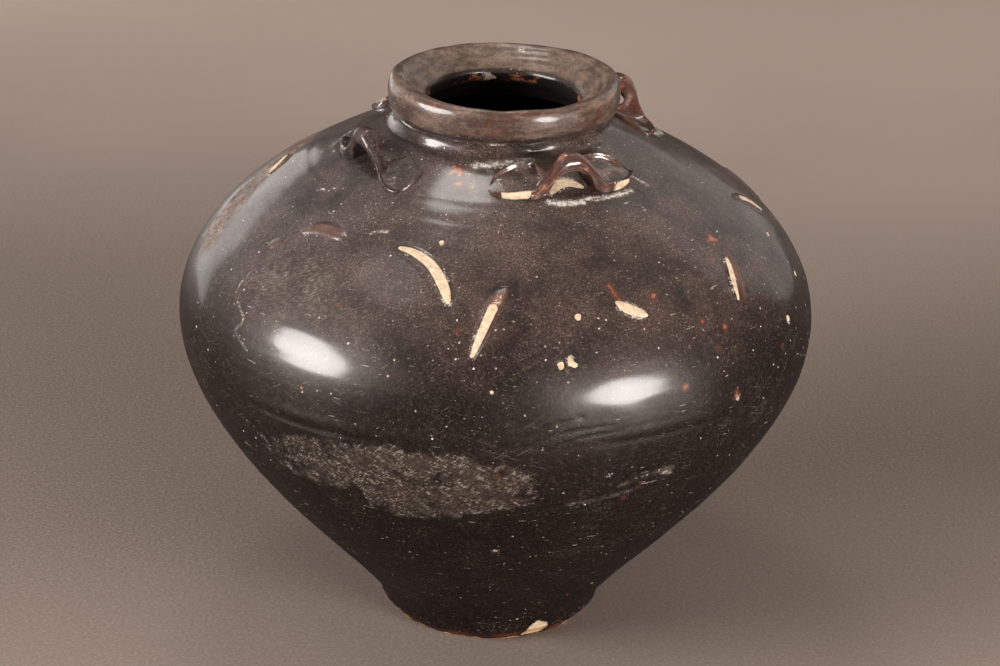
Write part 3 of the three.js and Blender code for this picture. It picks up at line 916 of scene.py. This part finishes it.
def buildBase(material):
    bearing = columnBearings(slab["columns"])[None, :]
    radius, height = np.hsplit(slabProfile(), 2)
    points = turnedPoints(radius, bearing, height)
    glazed = smoothStep(0.6, 2.2, height + 0.5 * unevenness(points, 12, 93))
    chip = footChipShape(bearing, height) * smoothStep(1.5, 4, height)
    rust = glazed * (0.75 + 0.2 * unevenness(points, 30, 94)) * (height < 8.5)
    masks = masksOf(glazed.shape, clay=np.maximum(1 - glazed, chip), rust=rust)
    wire = np.sin((points[..., 0] * 0.8 + points[..., 1] * 0.3) / slab["wireGap"])
    wire = slab["wireDepth"] * wire * (1 - smoothStep(60, 66, radius))
    lift = np.clip(0.25 * unevenness(points, 14, 91) + wire, -0.4, 0.6)
    dent = 0.3 * unevenness(points, 40, 92) * smoothStep(60, 70, radius)
    dent = dent + footChip["depth"] * smoothStep(0.4, 0.7, chip)
    points[..., :2] *= (1 - dent / radius)[..., None]
    points[..., 2] = np.clip(points[..., 2] + lift * (1 - smoothStep(0.5, 3, height)), 0, None)
    poles = [(0, 0, slab["recess"]), (0, 0, slab["top"])]
    ends = masks["clay"][[0, -1], 0]
    addCapped("baseSlab", points, poles, ends, masks, True, material, "base_slab")


# The two halves of the body, which meet at a tongue inside the wall
def buildBody(material):
    low, high = body["seamHeight"] - body["lap"], body["seamHeight"] + body["lap"]
    seam, tongueTop = uphillAt(low), uphillAt(high)
    tongueRadius = radiusAt(seam) - body["wall"] / 2
    tongue = [turnedPoints(tongueRadius, columns[None, :], height) for height in (low, high)]
    tongueMasks = [innerMasks((1, len(columns)))] * 2
    plain = innerMasks((body["innerRows"], len(columns)))

    outer, masks = bodySkin(np.linspace(0, seam, body["lowerRows"]))
    blocks = [outer, *tongue, innerSkin(tongueTop, 0, body["innerRows"])]
    masks = [masks, *tongueMasks, plain]
    addShell("lowerBody", blocks, masks, material, "lower_body")

    outer, masks = bodySkin(rowPlaces(seam, outlineEnd, body["upperRows"]))
    blocks = [outer, innerSkin(outlineEnd, tongueTop, body["innerRows"]), *tongue[::-1]]
    masks = [masks, plain, *tongueMasks]
    addShell("upperBody", blocks, masks, material, "upper_body")


# Materials

# A short way to add nodes: inputs are given by name, and a socket given as a value is linked.
class Graph:
    def __init__(self, tree):
        self.tree = tree

    def fill(self, node, inputs):
        count = len(self.tree.nodes)
        node.location = (220 * (count % 14), -280 * (count // 14))
        for name, value in inputs.items():
            if isinstance(value, bpy.types.NodeSocket):
                self.tree.links.new(value, node.inputs[name])
            else:
                node.inputs[name].default_value = value
        return node

    def add(self, kind, inputs=None, **settings):
        node = self.tree.nodes.new("ShaderNode" + kind)
        for setting, value in settings.items():
            setattr(node, setting, value)
        return self.fill(node, inputs or {})

    def group(self, nodeTree, inputs):
        node = self.tree.nodes.new("ShaderNodeGroup")
        node.node_tree = nodeTree
        return self.fill(node, inputs).outputs

    def math(self, operation, a, b=0.0, c=0.0):
        return self.add("Math", {0: a, 1: b, 2: c}, operation=operation).outputs[0]

    def times(self, a, b):
        return self.math("MULTIPLY", a, b)

    def mix(self, share, a, b):  # colours
        return self.add("Mix", {0: share, 6: a, 7: b}, data_type="RGBA").outputs[2]

    def blend(self, share, a, b):  # numbers
        return self.add("Mix", {0: share, 2: a, 3: b}, data_type="FLOAT").outputs[0]

    def step(self, value, low, high, toLow=0.0, toHigh=1.0):
        inputs = {"Value": value, "From Min": low, "From Max": high, "To Min": toLow, "To Max": toHigh}
        return self.add("MapRange", inputs, interpolation_type="SMOOTHSTEP").outputs[0]

    def noise(self, place, scale, detail=3.0, roughness=0.55, distortion=0.0):
        inputs = {"Vector": place, "Scale": scale, "Detail": detail, "Roughness": roughness,
                  "Distortion": distortion}
        return self.add("TexNoise", inputs).outputs["Fac"]

    def stretched(self, place, across, up):  # the place with its level and upright ways scaled
        return self.add("Mapping", {"Vector": place, "Scale": (across, across, up)}).outputs[0]

    def mask(self, label):
        return self.add("Attribute", attribute_name=label, attribute_type="GEOMETRY").outputs["Fac"]


def shade(red, green, blue):  # a colour written in 0 to 255, as linear light
    def linear(c):
        c = c / 255
        return c / 12.92 if c <= 0.04045 else ((c + 0.055) / 1.055) ** 2.4
    return (linear(red), linear(green), linear(blue), 1.0)


def emptyMaterial(name):  # a material whose nodes are all still to come, and its graph
    material = bpy.data.materials.new(name)
    material.use_nodes = True
    material.node_tree.nodes.clear()
    return material, Graph(material.node_tree)


# A node group with named inputs (name, kind, value) and outputs (name, kind).
def newGroup(name, inputs, outputs):
    tree = bpy.data.node_groups.new(name, "ShaderNodeTree")
    for label, kind, value in inputs:
        socket = tree.interface.new_socket(label, in_out="INPUT", socket_type="NodeSocket" + kind)
        if value is not None:
            socket.default_value = value
    for label, kind in outputs:
        tree.interface.new_socket(label, in_out="OUTPUT", socket_type="NodeSocket" + kind)
    start = tree.nodes.new("NodeGroupInput").outputs
    end = tree.nodes.new("NodeGroupOutput").inputs
    return tree, Graph(tree), start, end


# Breaks the soft edge of a mask into a ragged one with noise of the given scale.
def raggedEdgeGroup():
    tree, g, start, end = newGroup(
        "Ragged edge",
        [("Place", "Vector", None), ("Mask", "Float", 0.0), ("Scale", "Float", 400.0),
         ("Raggedness", "Float", 0.3), ("Softness", "Float", 0.06)],
        [("Mask", "Float")])
    grain = g.noise(start["Place"], start["Scale"], 4.0, 0.6)
    shift = g.times(g.math("SUBTRACT", grain, 0.5), start["Raggedness"])
    low, high = g.math("SUBTRACT", 0.5, start["Softness"]), g.math("ADD", 0.5, start["Softness"])
    tree.links.new(g.step(g.math("ADD", start["Mask"], shift), low, high), end["Mask"])
    return tree


# Scattered specks: the cells of a Voronoi pattern, a share of which hold a speck of that size.
# Noise bends the place a little, in metres, so that no speck is round. The smallest specks have the
# share smallest of the size, and each is solid out to the share solid of its own.
speckForm = {"bend": 0.0016, "bendScale": 800.0, "smallest": 0.3, "solid": 0.55}


def specksGroup():
    tree, g, start, end = newGroup(
        "Specks",
        [("Place", "Vector", None), ("Scale", "Float", 120.0), ("Share", "Float", 0.3),
         ("Size", "Float", 0.12)],
        [("Mask", "Float"), ("Chance", "Float")])
    bending = {"Vector": start["Place"], "Scale": speckForm["bendScale"], "Detail": 2.0}
    warp = g.add("TexNoise", bending).outputs["Color"]
    centred = g.add("VectorMath", {0: warp, 1: (0.5, 0.5, 0.5)}, operation="SUBTRACT").outputs[0]
    small = g.add("VectorMath", {0: centred, "Scale": speckForm["bend"]}, operation="SCALE").outputs[0]
    place = g.add("VectorMath", {0: start["Place"], 1: small}, operation="ADD").outputs[0]
    cells = g.add("TexVoronoi", {"Vector": place, "Scale": start["Scale"], "Randomness": 1.0})
    parts = g.add("SeparateColor", {"Color": cells.outputs["Color"]}).outputs
    size = g.times(start["Size"], g.step(parts["Green"], 0.0, 1.0, speckForm["smallest"], 1.0))
    dot = g.step(cells.outputs["Distance"], size, g.times(size, speckForm["solid"]))
    here = g.math("LESS_THAN", parts["Red"], start["Share"])
    tree.links.new(g.times(dot, here), end["Mask"])
    tree.links.new(parts["Blue"], end["Chance"])
    return tree


# Short strokes that wind round the jar at a slant: the place is turned about the upright axis in
# step with its height, and the noise is read stretched along that axis.
def strokesGroup():
    tree, g, start, end = newGroup(
        "Strokes",
        [("Place", "Vector", None), ("Twist", "Float", 5.0), ("Scale", "Float", 500.0),
         ("Stretch", "Float", 0.1)],
        [("Value", "Float")])
    height = g.add("SeparateXYZ", {0: start["Place"]}).outputs["Z"]
    turned = g.add("VectorRotate", {"Vector": start["Place"], "Angle": g.times(height, start["Twist"])},
                   rotation_type="Z_AXIS").outputs[0]
    parts = g.add("SeparateXYZ", {0: turned}).outputs
    place = g.add("CombineXYZ", {0: parts["X"], 1: parts["Y"], 2: g.times(parts["Z"], start["Stretch"])})
    tree.links.new(g.noise(place.outputs[0], start["Scale"], 3.0, 0.6), end["Value"])
    return tree


raggedEdge = raggedEdgeGroup()
specks = specksGroup()
strokes = strokesGroup()


def ragged(g, place, mask, scale, raggedness, softness):
    inputs = {"Place": place, "Mask": mask, "Scale": scale}
    return g.group(raggedEdge, {**inputs, "Raggedness": raggedness, "Softness": softness})["Mask"]


def specksOver(g, place, scale, share, size):
    return g.group(specks, {"Place": place, "Scale": scale, "Share": share, "Size": size})


def strokesOver(g, place, twist, scale, stretch):
    return g.group(strokes, {"Place": place, "Twist": twist, "Scale": scale, "Stretch": stretch})["Value"]


# A glaze is built up in layers on a surface with a tone, roughness, coat (its wet shine) and
# height in tenths of a millimetre. This lays one over it wherever the mask is.
def lay(g, surface, mask, tone, rough=None, height=0.0, coatKept=1.0):
    surface["tone"] = g.mix(mask, surface["tone"], tone)
    if rough is not None:
        surface["rough"] = g.blend(mask, surface["rough"], rough)
    surface["coat"] = g.times(surface["coat"], g.blend(mask, 1.0, coatKept))
    surface["height"] = g.math("MULTIPLY_ADD", mask, height, surface["height"])


# The glaze itself: broad clouds, level streaks from the wheel, a paler bloom on the shoulder that is
# browner on the right and violet-grey on the left, mottle and fine crystals. The shoulder's bloom is
# partly dust and wear and partly painted sheen, lighter where the shoulder faces the overhead light.
def layGround(g, place, look):
    clouds = g.step(g.noise(place, 8.0, 4.0, 0.6, 0.6), 0.3, 0.7)
    streaks = g.step(g.noise(g.stretched(place, 9.0, 150.0), 1.0, 4.0, 0.65), 0.35, 0.68)
    tone = g.mix(clouds, look["dark"], look["light"])
    tone = g.mix(g.times(streaks, look["streaks"]), tone, look["deep"])
    mottle = g.step(g.noise(place, 240.0, 4.0, 0.6), 0.45, 0.75)
    parts = g.add("SeparateXYZ", {0: place}).outputs
    up = parts["Z"]
    # Painted sheen: above bloomAndSheenFrom the shoulder is painted paler, partly as dust and partly as
    # sheen.
    onShoulder = g.step(up, look["bloomAndSheenFrom"], look["bloomAndSheenTo"])
    bloomAndSheen = g.times(onShoulder, g.step(g.noise(place, 34.0, 5.0, 0.65), 0.25, 0.8))
    mottleShare = g.blend(bloomAndSheen, 0.3 * look["mottle"], look["mottle"])
    tone = g.mix(g.times(mottle, mottleShare), tone, look["pale"])
    leftwards = g.math("MULTIPLY_ADD", parts["X"], -3.0, g.noise(place, 9.0, 3.0))
    tone = g.mix(bloomAndSheen, tone, g.mix(g.step(leftwards, 0.35, 1.0), look["bloomAndSheen"], look["violetBloomAndSheen"]))
    grain = g.noise(place, 820.0, 3.0, 0.75)
    grainShare = g.times(g.blend(bloomAndSheen, 0.16, 1.0), look["grain"])
    tone = g.mix(g.times(g.step(grain, 0.52, 0.7), grainShare), tone, look["pale"])
    tone = g.mix(g.times(g.step(grain, 0.5, 0.36), look["grain"]), tone, look["deep"])
    peel = g.times(g.noise(place, 190.0, 3.0, 0.5), look["peel"])
    height = g.math("MULTIPLY_ADD", grain, 0.7, peel)
    height = g.math("MULTIPLY_ADD", streaks, look["wheelMarks"], height)
    rough = g.blend(clouds, look["rough"] - 0.03, look["rough"] + 0.03)
    coat = g.step(up, look["wetFrom"], look["wetTo"], look["lowCoat"], look["coat"])
    return {"tone": tone, "rough": rough, "coat": coat, "height": height, "bloomAndSheen": bloomAndSheen}


# Thin glaze on edges and spots: dark red-brown, then orange where it is thinnest.
def layRust(g, place, look, surface):
    grain = g.math("SUBTRACT", g.noise(place, 640.0, 3.0, 0.7), 0.5)
    thinness = g.math("MULTIPLY_ADD", grain, 0.9, g.mask("rust"))
    lay(g, surface, g.times(g.step(thinness, 0.25, 0.6), look["rust"]), look["rustDark"])
    lay(g, surface, g.times(g.step(thinness, 0.66, 0.95), look["rust"]), look["rustLight"])


# Specks in three sizes, which are a dust of pinpoints, pale flecks, and pits down to buff or orange
# clay, with level hairlines and faint crossing scratches.
def laySpecks(g, place, look, surface):
    crowd = g.step(g.noise(place, 30.0, 5.0, 0.7), 0.36, 0.66, 0.15, 1.5)
    dust = specksOver(g, place, scale=620.0, share=g.times(crowd, look["dust"]), size=0.34)
    strength = g.times(g.step(dust["Chance"], 0.3, 1.0, 0.1, 0.8), g.blend(surface["bloomAndSheen"], 0.22, 1.0))
    lay(g, surface, g.times(dust["Mask"], strength), look["fleck"])
    flecks = specksOver(g, place, scale=210.0, share=g.times(crowd, look["flecks"]), size=0.19)
    fleckTone = g.mix(g.step(flecks["Chance"], 0.88, 0.92), look["fleck"], look["clayDark"])
    fleckMask = g.times(flecks["Mask"], g.step(flecks["Chance"], 0.0, 1.0, 0.3, 1.0))
    lay(g, surface, fleckMask, fleckTone, rough=0.6, height=-0.5, coatKept=0.3)
    hair = g.step(g.noise(g.stretched(place, 70.0, 900.0), 1.0, 3.0, 0.6), 0.7, 0.74)
    amount = g.blend(surface["bloomAndSheen"], look["hairlines"], 0.05)
    lay(g, surface, g.times(hair, amount), look["fleck"], rough=0.6, height=-0.2, coatKept=0.4)
    for twist in (13.0, -8.0):
        scratch = strokesOver(g, place, twist=twist, scale=900.0, stretch=0.035)
        patchy = g.times(g.step(g.noise(place, 40.0, 3.0), 0.45, 0.65), look["scratches"])
        lay(g, surface, g.times(g.step(scratch, 0.62, 0.7), patchy), look["haze"],
            rough=0.5, height=-0.3, coatKept=0.6)
    pits = specksOver(g, place, scale=58.0, share=look["pits"], size=0.075)
    pitTone = g.mix(g.step(pits["Chance"], 0.55, 0.6), look["clayLight"], look["rustLight"])
    lay(g, surface, pits["Mask"], pitTone, rough=0.8, height=-0.9, coatKept=0.0)


# The dull patches with their long fine lines, and the creases, which are painted near-black as painted
# shade.
def layDull(g, place, look, surface):
    dull = g.mask("dull")
    fine = strokesOver(g, place, twist=-9.0, scale=520.0, stretch=0.014)
    patchy = g.step(g.noise(place, 45.0, 4.0, 0.65), 0.4, 0.62, 0.2, 1.0)
    lay(g, surface, g.times(g.times(dull, patchy), 0.16), look["haze"])
    lines = g.times(g.step(fine, 0.5, 0.6), g.times(dull, patchy))
    lay(g, surface, g.times(lines, 0.55), look["haze"], rough=0.5, height=-0.5, coatKept=0.5)
    surface["rough"] = g.math("MULTIPLY_ADD", dull, look["dulling"], surface["rough"])
    surface["coat"] = g.times(surface["coat"], g.math("MULTIPLY_ADD", dull, -0.75, 1.0))
    # Painted shade: the creases are darkened to the deep tone.
    crease = ragged(g, place, g.mask("crease"), scale=260.0, raggedness=0.7, softness=0.08)
    lay(g, surface, g.times(crease, 0.8), look["deep"], rough=0.6, height=-1.5, coatKept=0.2)


# The rubbed band: crossing strokes of grey and dark with crumbs, broken up at its edge.
def layScuff(g, place, look, surface):
    scuff = g.mask("scuff")
    first = strokesOver(g, place, twist=10.0, scale=820.0, stretch=0.28)
    second = strokesOver(g, place, twist=-5.0, scale=700.0, stretch=0.36)
    crumbs = g.noise(place, 480.0, 6.0, 0.8)
    crossing = g.math("ADD", g.times(first, 0.42), g.times(second, 0.38))
    rubbing = g.math("ADD", crossing, g.times(crumbs, 0.4))
    clumps = g.noise(place, 130.0, 5.0, 0.7, 0.4)
    breaks = g.math("ADD", g.noise(place, 60.0, 6.0, 0.7), clumps)
    edge = g.math("ADD", g.times(scuff, 1.1), g.times(g.math("SUBTRACT", breaks, 1.0), 2.0))
    amount = g.times(g.step(edge, 0.2, 0.95), g.step(scuff, 0.0, 0.25))
    lay(g, surface, g.times(amount, 0.6), look["underRub"], rough=0.5, coatKept=0.4)
    marks = g.times(g.step(rubbing, 0.6, 0.7), amount)
    lay(g, surface, g.times(marks, g.step(clumps, 0.42, 0.58, 0.15, 0.9)), look["rubbed"],
        rough=0.6, height=0.6, coatKept=0.1)
    lay(g, surface, g.times(g.step(rubbing, 0.55, 0.48), amount), look["deep"],
        rough=0.5, height=-0.6, coatKept=0.6)


# Bare clay, with a dark line close round it, which is painted shade along the clay's edge, and white
# flakes further out.
def layClay(g, place, look, surface):
    clay = ragged(g, place, g.mask("clay"), scale=520.0, raggedness=0.08, softness=0.05)
    # Painted shade: a near-black line just outside the clay.
    closeBy = g.math("ADD", g.mask("clay"), 0.12)
    close = ragged(g, place, closeBy, scale=620.0, raggedness=0.3, softness=0.08)
    lay(g, surface, g.times(close, 0.8), look["deep"], rough=0.5, height=-0.3, coatKept=0.5)
    furtherOut = g.math("ADD", g.mask("clay"), 0.24)
    wide = ragged(g, place, furtherOut, scale=420.0, raggedness=0.4, softness=0.08)
    patchy = g.step(g.noise(place, 90.0, 4.0), 0.5, 0.58)
    flakes = g.times(patchy, g.step(g.noise(place, 1000.0, 2.0), 0.5, 0.56))
    lay(g, surface, g.times(wide, g.times(flakes, 0.75)), look["fleck"],
        rough=0.6, height=0.2, coatKept=0.3)
    tone = g.mix(g.step(g.noise(place, 330.0, 5.0, 0.7), 0.3, 0.66), look["clayDark"], look["clayLight"])
    tone = g.mix(g.times(g.step(g.noise(place, 900.0, 2.0), 0.6, 0.7), 0.5), tone, look["clayDark"])
    lay(g, surface, clay, tone, rough=0.88, height=-1.6, coatKept=0.0)
    grain = g.times(clay, g.noise(place, 750.0, 4.0, 0.7))
    surface["height"] = g.math("MULTIPLY_ADD", grain, 1.4, surface["height"])


# Lime: a thin film, and crusts where it is thick.
def layLime(g, place, look, surface):
    deposit = g.mask("deposit")
    crumbs = g.noise(place, 380.0, 6.0, 0.78, 0.4)
    crust = g.step(g.math("MULTIPLY_ADD", deposit, 0.4, crumbs), 0.74, 0.88)
    film = g.times(g.step(deposit, 0.2, 0.95), g.step(g.noise(place, 110.0, 5.0, 0.7), 0.36, 0.64))
    lay(g, surface, g.times(film, 0.75), look["film"], rough=0.55, coatKept=0.4)
    lay(g, surface, g.times(crust, g.step(deposit, 0.03, 0.3)), look["lime"],
        rough=0.8, height=1.0, coatKept=0.0)


# The dish and crest, and the strip on the left, handled dry: greyer, streaky and duller.
def layDry(g, place, look, surface):
    dry = g.mask("dry")
    streaks = g.step(g.noise(g.stretched(place, 60.0, 260.0), 1.0, 6.0, 0.75), 0.34, 0.66)
    tone = g.mix(streaks, look["dryDark"], look["dryLight"])
    blotches = g.noise(place, 75.0, 5.0, 0.7)
    tone = g.mix(g.times(g.step(blotches, 0.46, 0.62), 0.6), tone, look["dryDeep"])
    grain = g.noise(place, 700.0, 4.0, 0.75)
    tone = g.mix(g.times(g.step(grain, 0.48, 0.36), 0.5), tone, look["deep"])
    tone = g.mix(g.times(g.step(grain, 0.6, 0.74), 0.25), tone, look["fleck"])
    cloudy = g.math("ADD", dry, g.times(g.math("SUBTRACT", g.noise(place, 60.0, 4.0), 0.5), 0.8))
    share = g.times(g.step(cloudy, 0.1, 0.9), 0.85)
    lay(g, surface, share, tone, rough=0.42, height=0.1, coatKept=0.7)
    surface["height"] = g.math("MULTIPLY_ADD", g.times(share, grain), 1.2, surface["height"])


# Painted shade inside: the throat and inner walls are painted near-black.
def layThroatShade(g, look, surface):
    lay(g, surface, g.mask("throat"), look["throat"], rough=0.95, coatKept=0.0)


def makeGlaze(name, look):
    material, g = emptyMaterial(name)
    place = g.add("TexCoord").outputs["Object"]
    surface = layGround(g, place, look)
    laySpecks(g, place, look, surface)
    layDry(g, place, look, surface)
    layThroatShade(g, look, surface)
    layRust(g, place, look, surface)
    layDull(g, place, look, surface)
    layScuff(g, place, look, surface)
    layClay(g, place, look, surface)
    layLime(g, place, look, surface)
    relief = g.add("Bump", {"Strength": 1.0, "Distance": 0.0001, "Height": surface["height"]})
    shader = g.add("BsdfPrincipled", {
        "Base Color": surface["tone"], "Roughness": surface["rough"], "Coat Weight": surface["coat"],
        "Coat Roughness": look["coatRough"], "Normal": relief.outputs[0], "IOR": look["ior"],
        "Specular IOR Level": look["specular"], "Specular Tint": look["sheenTone"]})
    g.add("OutputMaterial", {"Surface": shader.outputs[0]})
    return material


# bloomAndSheen and violetBloomAndSheen are the shoulder's paler tones: partly dust, partly painted sheen.
glazeLook = {
    "dark": shade(13, 5, 4), "light": shade(24, 12, 10), "pale": shade(146, 127, 117),
    "deep": shade(10, 5, 4), "bloomAndSheen": shade(78, 60, 53), "violetBloomAndSheen": shade(70, 58, 60),
    "bloomAndSheenFrom": 0.235, "bloomAndSheenTo": 0.31, "wetFrom": 0.13, "wetTo": 0.21,
    "mottle": 0.12, "grain": 0.7, "streaks": 0.35, "peel": 1.8, "wheelMarks": 0.25,
    "rough": 0.44, "specular": 0.38, "ior": 1.5, "sheenTone": shade(255, 240, 234), "dulling": 0.2,
    "coat": 0.58, "coatRough": 0.14, "lowCoat": 0.25,
    "hairlines": 0.75, "scratches": 0.6,
    "rustDark": shade(78, 42, 32), "rustLight": shade(156, 94, 66), "rust": 0.85,
    "dust": 0.5, "flecks": 0.44, "pits": 0.14, "fleck": shade(210, 200, 190),
    "clayDark": shade(176, 151, 127), "clayLight": shade(217, 195, 167),
    "haze": shade(136, 122, 110), "underRub": shade(64, 54, 47), "rubbed": shade(156, 147, 135),
    # throat is painted shade: near-black for the inside.
    "lime": shade(208, 203, 194), "film": shade(150, 139, 126), "throat": shade(4, 2, 2),
    "dryDeep": shade(58, 46, 39), "dryDark": shade(76, 61, 53), "dryLight": shade(137, 114, 98),
}
wetLook = {
    **glazeLook, "dark": shade(36, 21, 17), "light": shade(56, 36, 29), "bloomAndSheen": shade(80, 58, 48),
    "grain": 0.3, "dust": 0.3, "flecks": 0.2, "pits": 0.1, "coat": 1.0, "coatRough": 0.08, "rough": 0.34,
    "rustDark": shade(80, 44, 35), "rustLight": shade(150, 96, 72), "rust": 0.8,
}
footLook = {
    **glazeLook, "rustDark": shade(58, 26, 19), "rustLight": shade(108, 52, 34), "flecks": 0.8,
    "clayDark": shade(168, 132, 98), "clayLight": shade(206, 172, 134),
}


# Stage, lights and camera

stage = {
    "halfWidth": 6.0, "front": -5.0, "back": 2.6, "curve": 1.4, "top": 4.6,
    # The middle tone is painted shade behind the jar, and near and far are the lighter painted light.
    "near": shade(154, 139, 129), "middle": shade(101, 90, 83), "far": shade(184, 168, 158),
    "nearY": -0.34, "middleY": 0.46, "farY": 1.84, "lean": 0.2, "shadeInReflections": 0.72,
}
# Lamps: bearing and elevation seen from the middle of the jar, distance, size and power.
middleOfJar = (0, 0, 0.22)
lampTone = (1.0, 0.955, 0.92)
lights = {
    "leftBox": {"bearing": -67, "elevation": 17, "distance": 1.9, "size": (1.1, 0.62), "watts": 49},
    "rightBox": {"bearing": 42.5, "elevation": 9.5, "distance": 1.9, "size": (0.96, 0.74), "watts": 49},
    "topBox": {"bearing": -155, "elevation": 70, "distance": 1.7, "size": (0.5, 0.4), "watts": 5.4},
    "sideBox": {"bearing": -76, "elevation": 62, "distance": 1.8, "size": (0.7, 0.5), "watts": 1.6},
    "edgeBox": {"bearing": -141, "elevation": 2, "distance": 2.2, "size": (1.5, 1.5), "watts": 10.5},
    "backBox": {"bearing": 138, "elevation": 27, "distance": 2.2, "size": (1.9, 2.5), "watts": 7.5},
    "wallBox": {"bearing": -126, "elevation": 32, "distance": 2.3, "size": (1.5, 1.8), "watts": 2.6},
}
# The room's light goes from low to high as the upward part of a direction goes from lowUp to
# highUp. Its backward part adds to that by the share towardsBack.
room = {
    "tone": shade(255, 238, 226), "low": 0.035, "high": 0.5, "lowUp": 0.3, "highUp": 1.0,
    "towardsBack": 0.35,
}
camera = {"place": (0, -1.5927, 0.9102), "lens": 91.54, "pitch": 24.01, "yaw": 0.115, "roll": 1.57}


# Grey-brown paper: lighter near the front and far behind, more so to the right, with a faint
# cloudiness and grain. The darker band behind the jar and the darker left are painted shade, where
# the light falls off.
def makePaper():
    material, g = emptyMaterial("Grey-brown paper")
    place = g.add("TexCoord").outputs["Object"]
    parts = g.add("SeparateXYZ", {0: place}).outputs
    cloudy = g.math("MULTIPLY_ADD", g.noise(place, 1.3, 2.0), 0.5, parts["Y"])
    front = g.math("MULTIPLY_ADD", parts["X"], -stage["lean"], cloudy)
    behind = g.math("MULTIPLY_ADD", parts["X"], stage["lean"], cloudy)
    tone = g.mix(g.step(front, stage["nearY"], stage["middleY"]), stage["near"], stage["middle"])
    tone = g.mix(g.step(behind, stage["middleY"], stage["farY"]), tone, stage["far"])
    fibres = g.noise(place, 420.0, 3.0, 0.75)
    tone = g.mix(g.times(g.step(fibres, 0.4, 0.7), 0.2), tone, stage["far"])
    # Painted shade: wherever a reflection sees it, the paper is painted darker by shadeInReflections.
    isGlossy = g.add("LightPath").outputs["Is Glossy Ray"]
    tone = g.mix(g.times(isGlossy, stage["shadeInReflections"]), tone, shade(0, 0, 0))
    shader = g.add("BsdfPrincipled", {"Base Color": tone, "Roughness": 0.9, "Specular IOR Level": 0.2})
    g.add("OutputMaterial", {"Surface": shader.outputs[0]})
    return material


# The floor runs level from the front, turns up in a quarter circle and rises behind.
def buildStage():
    turn = np.linspace(0, math.pi / 2, 25)
    y = np.concatenate([[stage["front"]], stage["back"] + stage["curve"] * np.sin(turn)])
    z = np.concatenate([[0], stage["curve"] * (1 - np.cos(turn))])
    y, z = np.append(y, y[-1]), np.append(z, stage["top"])
    x = np.linspace(-stage["halfWidth"], stage["halfWidth"], 3)
    points = np.stack([np.tile(x, len(y)), np.repeat(y, 3), np.repeat(z, 3)], 1)
    faces = gridFaces(len(y), 3, False, False).tolist()
    sweep = newObject("sweep", smoothMesh("sweep", points, faces, makePaper()))


def buildLights():
    for name, box in lights.items():
        bearing, elevation = math.radians(box["bearing"]), math.radians(box["elevation"])
        level = math.cos(elevation)
        way = Vector((math.sin(bearing) * level, -math.cos(bearing) * level, math.sin(elevation)))
        data = bpy.data.lights.new(name, "AREA")
        data.shape = "ELLIPSE"
        data.size, data.size_y = box["size"]
        data.energy = box["watts"]
        data.color = lampTone
        lamp = newObject(name, data)
        lamp.location = Vector(middleOfJar) + way * box["distance"]
        lamp.rotation_mode = "QUATERNION"
        lamp.rotation_quaternion = (-way).to_track_quat("-Z", "Y")
        lamp.visible_camera = False


# The room: dim at eye level, bright overhead and a little brighter behind. The camera sees it in
# the paper's far tone.
def buildRoom():
    world = bpy.data.worlds.new("Room")
    bpy.context.scene.world = world
    world.use_nodes = True
    world.node_tree.nodes.clear()
    g = Graph(world.node_tree)
    way = g.add("SeparateXYZ", {0: g.add("TexCoord").outputs["Generated"]}).outputs
    up = g.math("MULTIPLY_ADD", way["Y"], room["towardsBack"], way["Z"])
    strength = g.step(up, room["lowUp"], room["highUp"], room["low"], room["high"])
    light = g.add("Background", {"Color": room["tone"], "Strength": strength}).outputs[0]
    seen = g.add("Background", {"Color": stage["far"], "Strength": 1.0}).outputs[0]
    isCamera = g.add("LightPath").outputs["Is Camera Ray"]
    either = g.add("MixShader", {0: isCamera, 1: light, 2: seen}).outputs[0]
    g.add("OutputWorld", {"Surface": either})


def buildCamera():
    pitch, yaw, roll = (math.radians(camera[key]) for key in ("pitch", "yaw", "roll"))
    forward = Vector((math.sin(yaw) * math.cos(pitch), math.cos(yaw) * math.cos(pitch), -math.sin(pitch)))
    level = Vector((math.cos(yaw), -math.sin(yaw), 0))
    up = level.cross(forward)
    right = math.cos(roll) * level + math.sin(roll) * up
    top = -math.sin(roll) * level + math.cos(roll) * up
    data = bpy.data.cameras.new("view")
    data.lens, data.sensor_width = camera["lens"], 36
    seat = newObject("view", data)
    turn = Matrix((right, top, -forward)).transposed().to_4x4()
    seat.matrix_world = Matrix.Translation(camera["place"]) @ turn
    bpy.context.scene.camera = seat


glaze = makeGlaze("Dark brown glaze", glazeLook)
buildBody(glaze)
buildNeck(glaze)
wetGlaze = makeGlaze("Wet brown glaze", wetLook)
for shape in lugs:
    buildLug(shape, glaze if shape["name"] == "lugLeft" else wetGlaze)
buildBase(makeGlaze("Foot clay and thin glaze", footLook))
print("jar built")
buildStage()
buildLights()
buildRoom()
buildCamera()
bpy.context.scene.view_settings.view_transform = "Standard"
print("stage, lights and camera set")
